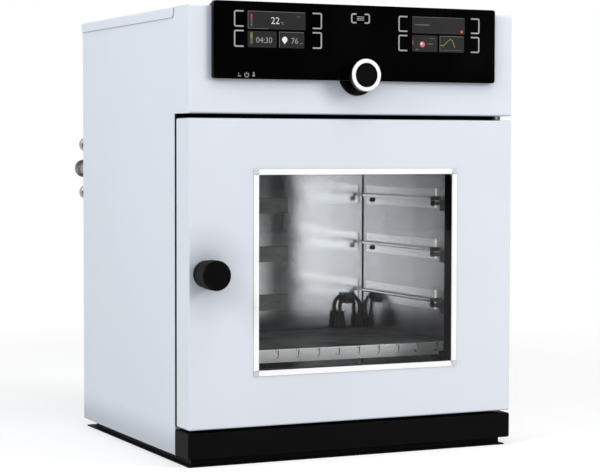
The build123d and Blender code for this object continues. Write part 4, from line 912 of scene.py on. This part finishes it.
def makeRailDetails(look):
    # A dark domed head in the rear hole of each rail, painted shade for the hole, and a dark cap on the front end of
    # its rib
    holeShadeCorners, holeShadeFaces, capCorners, capFaces = [], [], [], []
    radius, proud = look["radius"] * mm, look["proud"] * mm
    for name, side in (("rails_left", -1), ("rails_right", 1)):
        low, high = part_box(name)
        wall = high.x if side > 0 else low.x
        bottom, top = low.z + look["half"] * mm, high.z - look["half"] * mm
        for level in range(look["levels"]):
            middle = bottom + (top - bottom) * level / (look["levels"] - 1)
            y, z = high.y - look["holeInset"] * mm, middle - look["holeDrop"] * mm
            face = wall - side * look["sheet"] * mm
            # painted shade: a dark dome fills the rear hole
            loftInto(holeShadeCorners, holeShadeFaces, [[(face - side * proud * rise, y + radius * size * across, z + radius * size * up)
                                                 for across, up in turnPoints(look["around"])]
                                                for size, rise in look["profile"]], True, True)
            edge = wall - side * look["capReach"] * mm
            blockInto(capCorners, capFaces, (min(wall, edge), low.y - look["cap"] * mm, middle - look["capHalf"] * mm),
                      (max(wall, edge), low.y + 0.00005, middle + look["capHalf"] * mm))
    addPiece("railHoleShade", meshOf("railHoleShade", holeShadeCorners, holeShadeFaces), "heatDarkSteel", "housing")
    addPiece("railEndCaps", meshOf("railEndCaps", capCorners, capFaces), "heatDarkSteel", "housing")


weldLook = {"leg": 1.9, "wall": 4.0, "short": 23.0, "hollow": 0.42}


def makeCornerWelds(look):
    # The ground weld down each rear corner of the chamber
    low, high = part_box("chamber")
    left, right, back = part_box("rails_left")[0].x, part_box("rails_right")[1].x, high.y - look["wall"] * mm
    bottom, top = low.z + look["short"] * mm, high.z - look["short"] * mm
    corners, faces = [], []
    leg, hollow = look["leg"] * mm, look["leg"] * look["hollow"] * mm
    for x, side in ((left, 1), (right, -1)):
        outline = [(x, back - leg), (x + side * hollow, back - hollow), (x + side * leg, back), (x, back)]
        loftInto(corners, faces, [[(px, py, z) for px, py in outline] for z in (bottom, top)], True, True)
    addPiece("cornerWelds", meshOf("cornerWelds", corners, faces), "heatDarkSteel", "housing")


gapShadeLook = {"inset": 0.3, "width": 9.0, "clear": 1.5, "hingeInset": 50.0, "headerGap": 6.6, "lap": 8.0, "above": 0.6}


def makeDoorGapShade(look):
    # Near-black blocks in the gap round the door and in the one below the header, painted shade for these gaps
    low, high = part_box("door_skin")
    back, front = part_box("front_frame")[0].y - 0.0001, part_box("door_liner")[1].y + look["clear"] * mm
    width, inset, lap = look["width"] * mm, look["inset"] * mm, look["lap"] * mm
    left, right, bottom, top = low.x + inset, high.x - look["hingeInset"] * mm, low.z + inset, high.z + look["headerGap"] * mm
    corners, faces = [], []
    blockInto(corners, faces, (left, front, bottom), (left + width, back, top))
    blockInto(corners, faces, (right - width, front, bottom), (right, back, high.z - lap))
    blockInto(corners, faces, (left + width, front, bottom), (right - width, back, bottom + width))
    blockInto(corners, faces, (left + width, front, high.z - lap), (right, back, high.z + look["above"] * mm))
    blockInto(corners, faces, (left + width, front, high.z + look["above"] * mm), (high.x - inset, back, top))
    addPiece("doorGapShade", meshOf("doorGapShade", corners, faces), "gapShadeBlack", "housing")


trimLook = {"width": 7.6, "proud": 0.6, "soft": 0.3, "gapShadeSize": 2.6, "gapShadeProud": 1.0}


def makeTrimCorners(look):
    # A painted cap where two window strips meet, and a small grey block at its inner corner, painted shade for the gap
    # there
    low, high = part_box("window_trims")
    middle = (low + high) / 2
    caps, capFaces, gapShadeCorners, gapShadeFaces = [], [], [], []
    size, gapShadeSize = look["width"] * mm, look["gapShadeSize"] * mm
    for x in (low.x, high.x - size):
        for z in (low.z, high.z - size):
            blockInto(caps, capFaces, (x, low.y + 0.0001, z), (x + size, low.y + look["proud"] * mm, z + size))
            innerX = x + size if x < middle.x else x - gapShadeSize
            innerZ = z + size if z < middle.z else z - gapShadeSize
            blockInto(gapShadeCorners, gapShadeFaces, (innerX - gapShadeSize / 2, low.y + 0.0002, innerZ - gapShadeSize / 2),
                      (innerX + gapShadeSize / 2, low.y + look["gapShadeProud"] * mm, innerZ + gapShadeSize / 2))
    bevelled(addPiece("trimCorners", meshOf("trimCorners", caps, capFaces), "cornerCap", "door"), look["soft"])
    addPiece("trimGapShade", meshOf("trimGapShade", gapShadeCorners, gapShadeFaces), "gapShadeGrey", "door")


bezelLook = {"inner": 16.9, "outer": 18.3, "proud": 0.25, "around": 64}


def makeDialBezel(look):
    # A thin black edge inside the white ring
    low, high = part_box("dial_ring")
    x, z, y = (low.x + high.x) / 2, (low.z + high.z) / 2, low.y
    inner, outer, proud = look["inner"], look["outer"], look["proud"]
    rings = [[(x + radius * mm * across, y + level * mm, z + radius * mm * up) for across, up in turnPoints(look["around"])]
             for radius, level in ((inner, 0.4), (inner, -proud), (outer, -proud * 0.4), (outer, 0.6))]
    corners, faces = [], []
    loftInto(corners, faces, rings, False)
    count, last = look["around"], 3 * look["around"]
    faces += [[last + turn, last + (turn + 1) % count, (turn + 1) % count, turn] for turn in range(count)]
    addPiece("dialInnerEdge", meshOf("dialInnerEdge", corners, faces), "knobPlastic", "dial")


returnLook = {"gap": 2.2, "sheet": 0.6, "inset": 12.0, "foot": 2.0, "head": 2.0}


def makeShelfReturn(look):
    # The folded edge behind the shelf's front lip, seen through the hooks
    low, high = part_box("shelf_tray")
    corners, faces = [], []
    blockInto(corners, faces, (low.x + look["inset"] * mm, low.y + look["gap"] * mm, low.z + look["foot"] * mm),
              (high.x - look["inset"] * mm, low.y + (look["gap"] + look["sheet"]) * mm, high.z - look["head"] * mm))
    addPiece("shelfReturn", meshOf("shelfReturn", corners, faces), "railSteel", "housing")


makeScrewRecessShade(crossLook)
makeHookPins(hookLook)
makeRailDetails(railLook)
makeCornerWelds(weldLook)
makeDoorGapShade(gapShadeLook)
makeTrimCorners(trimLook)
makeDialBezel(bezelLook)
makeShelfReturn(returnLook)
print("small details ready")


# Floor, world and lamps

floorLook = {"size": 14.0, "light": colour(0.62, 0.62, 0.62), "dark": colour(0.60, 0.60, 0.605), "lift": 0.44,
             "near": 0.9, "far": 2.1}


def makeFloor(look):
    half = look["size"] / 2
    mesh = meshOf("studioFloor", [(-half, -half, 0), (half, -half, 0), (half, half, 0), (-half, half, 0)], [[0, 1, 2, 3]])
    material, tree, shader = startFinish("studioFloor")
    grain = useGroup(tree, "surfaceGrain", (-900, 100), {"Grain Scale": 300.0, "Patch Scale": 1.5})
    feed(tree, mixColours(tree, (-500, 200), grain["Patches"], look["dark"], look["light"]), shader.inputs["Base Color"])
    shader.inputs["Roughness"].default_value = 0.8
    shader.inputs["Specular IOR Level"].default_value = 0.1
    where = put(tree, "ShaderNodeTexCoord", (-900, -300))
    length = put(tree, "ShaderNodeVectorMath", (-700, -300), operation="LENGTH")
    feed(tree, where.outputs["Object"], length.inputs[0])
    away = rescale(tree, (-500, -300), length.outputs["Value"], look["near"], look["far"], 0.0, 1.0, True)
    path = put(tree, "ShaderNodeLightPath", (-900, 600))
    seen = math2(tree, "MAXIMUM", (-600, 600), path.outputs["Is Camera Ray"], path.outputs["Is Transmission Ray"])
    seen = math2(tree, "MAXIMUM", (-450, 600), seen, path.outputs["Is Glossy Ray"])
    white = put(tree, "ShaderNodeEmission", (-200, -100))
    lift = put(tree, "ShaderNodeEmission", (-200, 500))
    feed(tree, math2(tree, "MULTIPLY", (-350, 450), seen, look["lift"]), lift.inputs["Strength"])
    lifted = put(tree, "ShaderNodeAddShader", (100, 300))
    feed(tree, shader.outputs[0], lifted.inputs[0])
    feed(tree, lift.outputs[0], lifted.inputs[1])
    blend = put(tree, "ShaderNodeMixShader", (300, 100))
    feed(tree, math2(tree, "MULTIPLY", (-100, 200), away, seen), blend.inputs[0])
    feed(tree, lifted.outputs[0], blend.inputs[1])
    feed(tree, white.outputs[0], blend.inputs[2])
    feed(tree, blend.outputs[0], tree.nodes["Material Output"].inputs["Surface"])
    floor = bpy.data.objects.new("studioFloor", mesh)
    bpy.context.scene.collection.objects.link(floor)
    floor.data.materials.append(material)


worldLook = {"level": 0.515, "frontLevel": 0.012, "frontFrom": 0.0, "frontTo": 0.3}


def makeWorld(look):
    # White all round, with a black curtain in front that metal and glass show
    world = bpy.data.worlds.new("studio")
    bpy.context.scene.world = world
    world.use_nodes = True
    tree = world.node_tree
    sky = tree.nodes["Background"]
    path = put(tree, "ShaderNodeLightPath", (-900, 400))
    where = put(tree, "ShaderNodeTexCoord", (-1100, 0))
    toward = put(tree, "ShaderNodeVectorMath", (-900, 0), operation="NORMALIZE")
    feed(tree, where.outputs["Generated"], toward.inputs[0])
    parts = put(tree, "ShaderNodeSeparateXYZ", (-700, 0))
    feed(tree, toward.outputs[0], parts.inputs[0])
    forward = math2(tree, "MULTIPLY", (-600, 0), parts.outputs["Y"], -1.0)
    curtain = rescale(tree, (-450, 0), forward, look["frontFrom"], look["frontTo"], 1.0, look["frontLevel"], True)
    mirrored = math2(tree, "MAXIMUM", (-650, 300), path.outputs["Is Glossy Ray"], path.outputs["Is Transmission Ray"])
    plain = rescale(tree, (-650, 500), path.outputs["Is Camera Ray"], 0.0, 1.0, look["level"], 1.0)
    pick = put(tree, "ShaderNodeMix", (-300, 200), data_type="FLOAT")
    feed(tree, mirrored, pick.inputs[0])
    feed(tree, plain, pick.inputs[2])
    feed(tree, curtain, pick.inputs[3])
    sky.inputs["Color"].default_value = colour(1.0, 1.0, 1.0)
    feed(tree, pick.outputs[0], sky.inputs["Strength"])
    world.cycles.sampling_method = "NONE"


lampLooks = {
    "keyLamp": {"at": (-3.4, -0.9, 2.3), "aim": (0.0, -0.1, 0.5), "size": (2.0, 1.6), "power": 72.0,
                "tone": (0.92, 0.98, 1.0)},
    "rightLamp": {"at": (2.5, -2.6, 1.7), "aim": (0.0, -0.2, 0.5), "size": (1.2, 1.2), "power": 62.0,
                  "tone": (1.0, 0.985, 0.975)},
    # Low and in front, so that the chamber's steel shows it through the window
    "windowLamp": {"at": (-0.77, -3.0, 0.52), "aim": (-0.77, 0.0, 0.52), "size": (0.96, 1.02), "power": 7.6,
                   "tone": (0.98, 0.98, 1.0)},
    "topLamp": {"at": (0.3, -0.95, 2.6), "aim": (0.0, -0.2, 0.5), "size": (1.8, 0.9), "power": 11.0,
                "tone": (1.0, 1.0, 1.0)},
}


def makeLamps(looks):
    for name, look in looks.items():
        data = bpy.data.lights.new(name, "AREA")
        data.shape = "RECTANGLE"
        data.size, data.size_y = look["size"]
        data.energy = look["power"]
        data.color = look["tone"]
        lamp = bpy.data.objects.new(name, data)
        bpy.context.scene.collection.objects.link(lamp)
        lamp.location = look["at"]
        lamp.visible_camera = False
        lamp.rotation_euler = (Vector(look["aim"]) - Vector(look["at"])).to_track_quat("-Z", "Y").to_euler()


makeFloor(floorLook)
makeWorld(worldLook)
makeLamps(lampLooks)
print("studio ready")
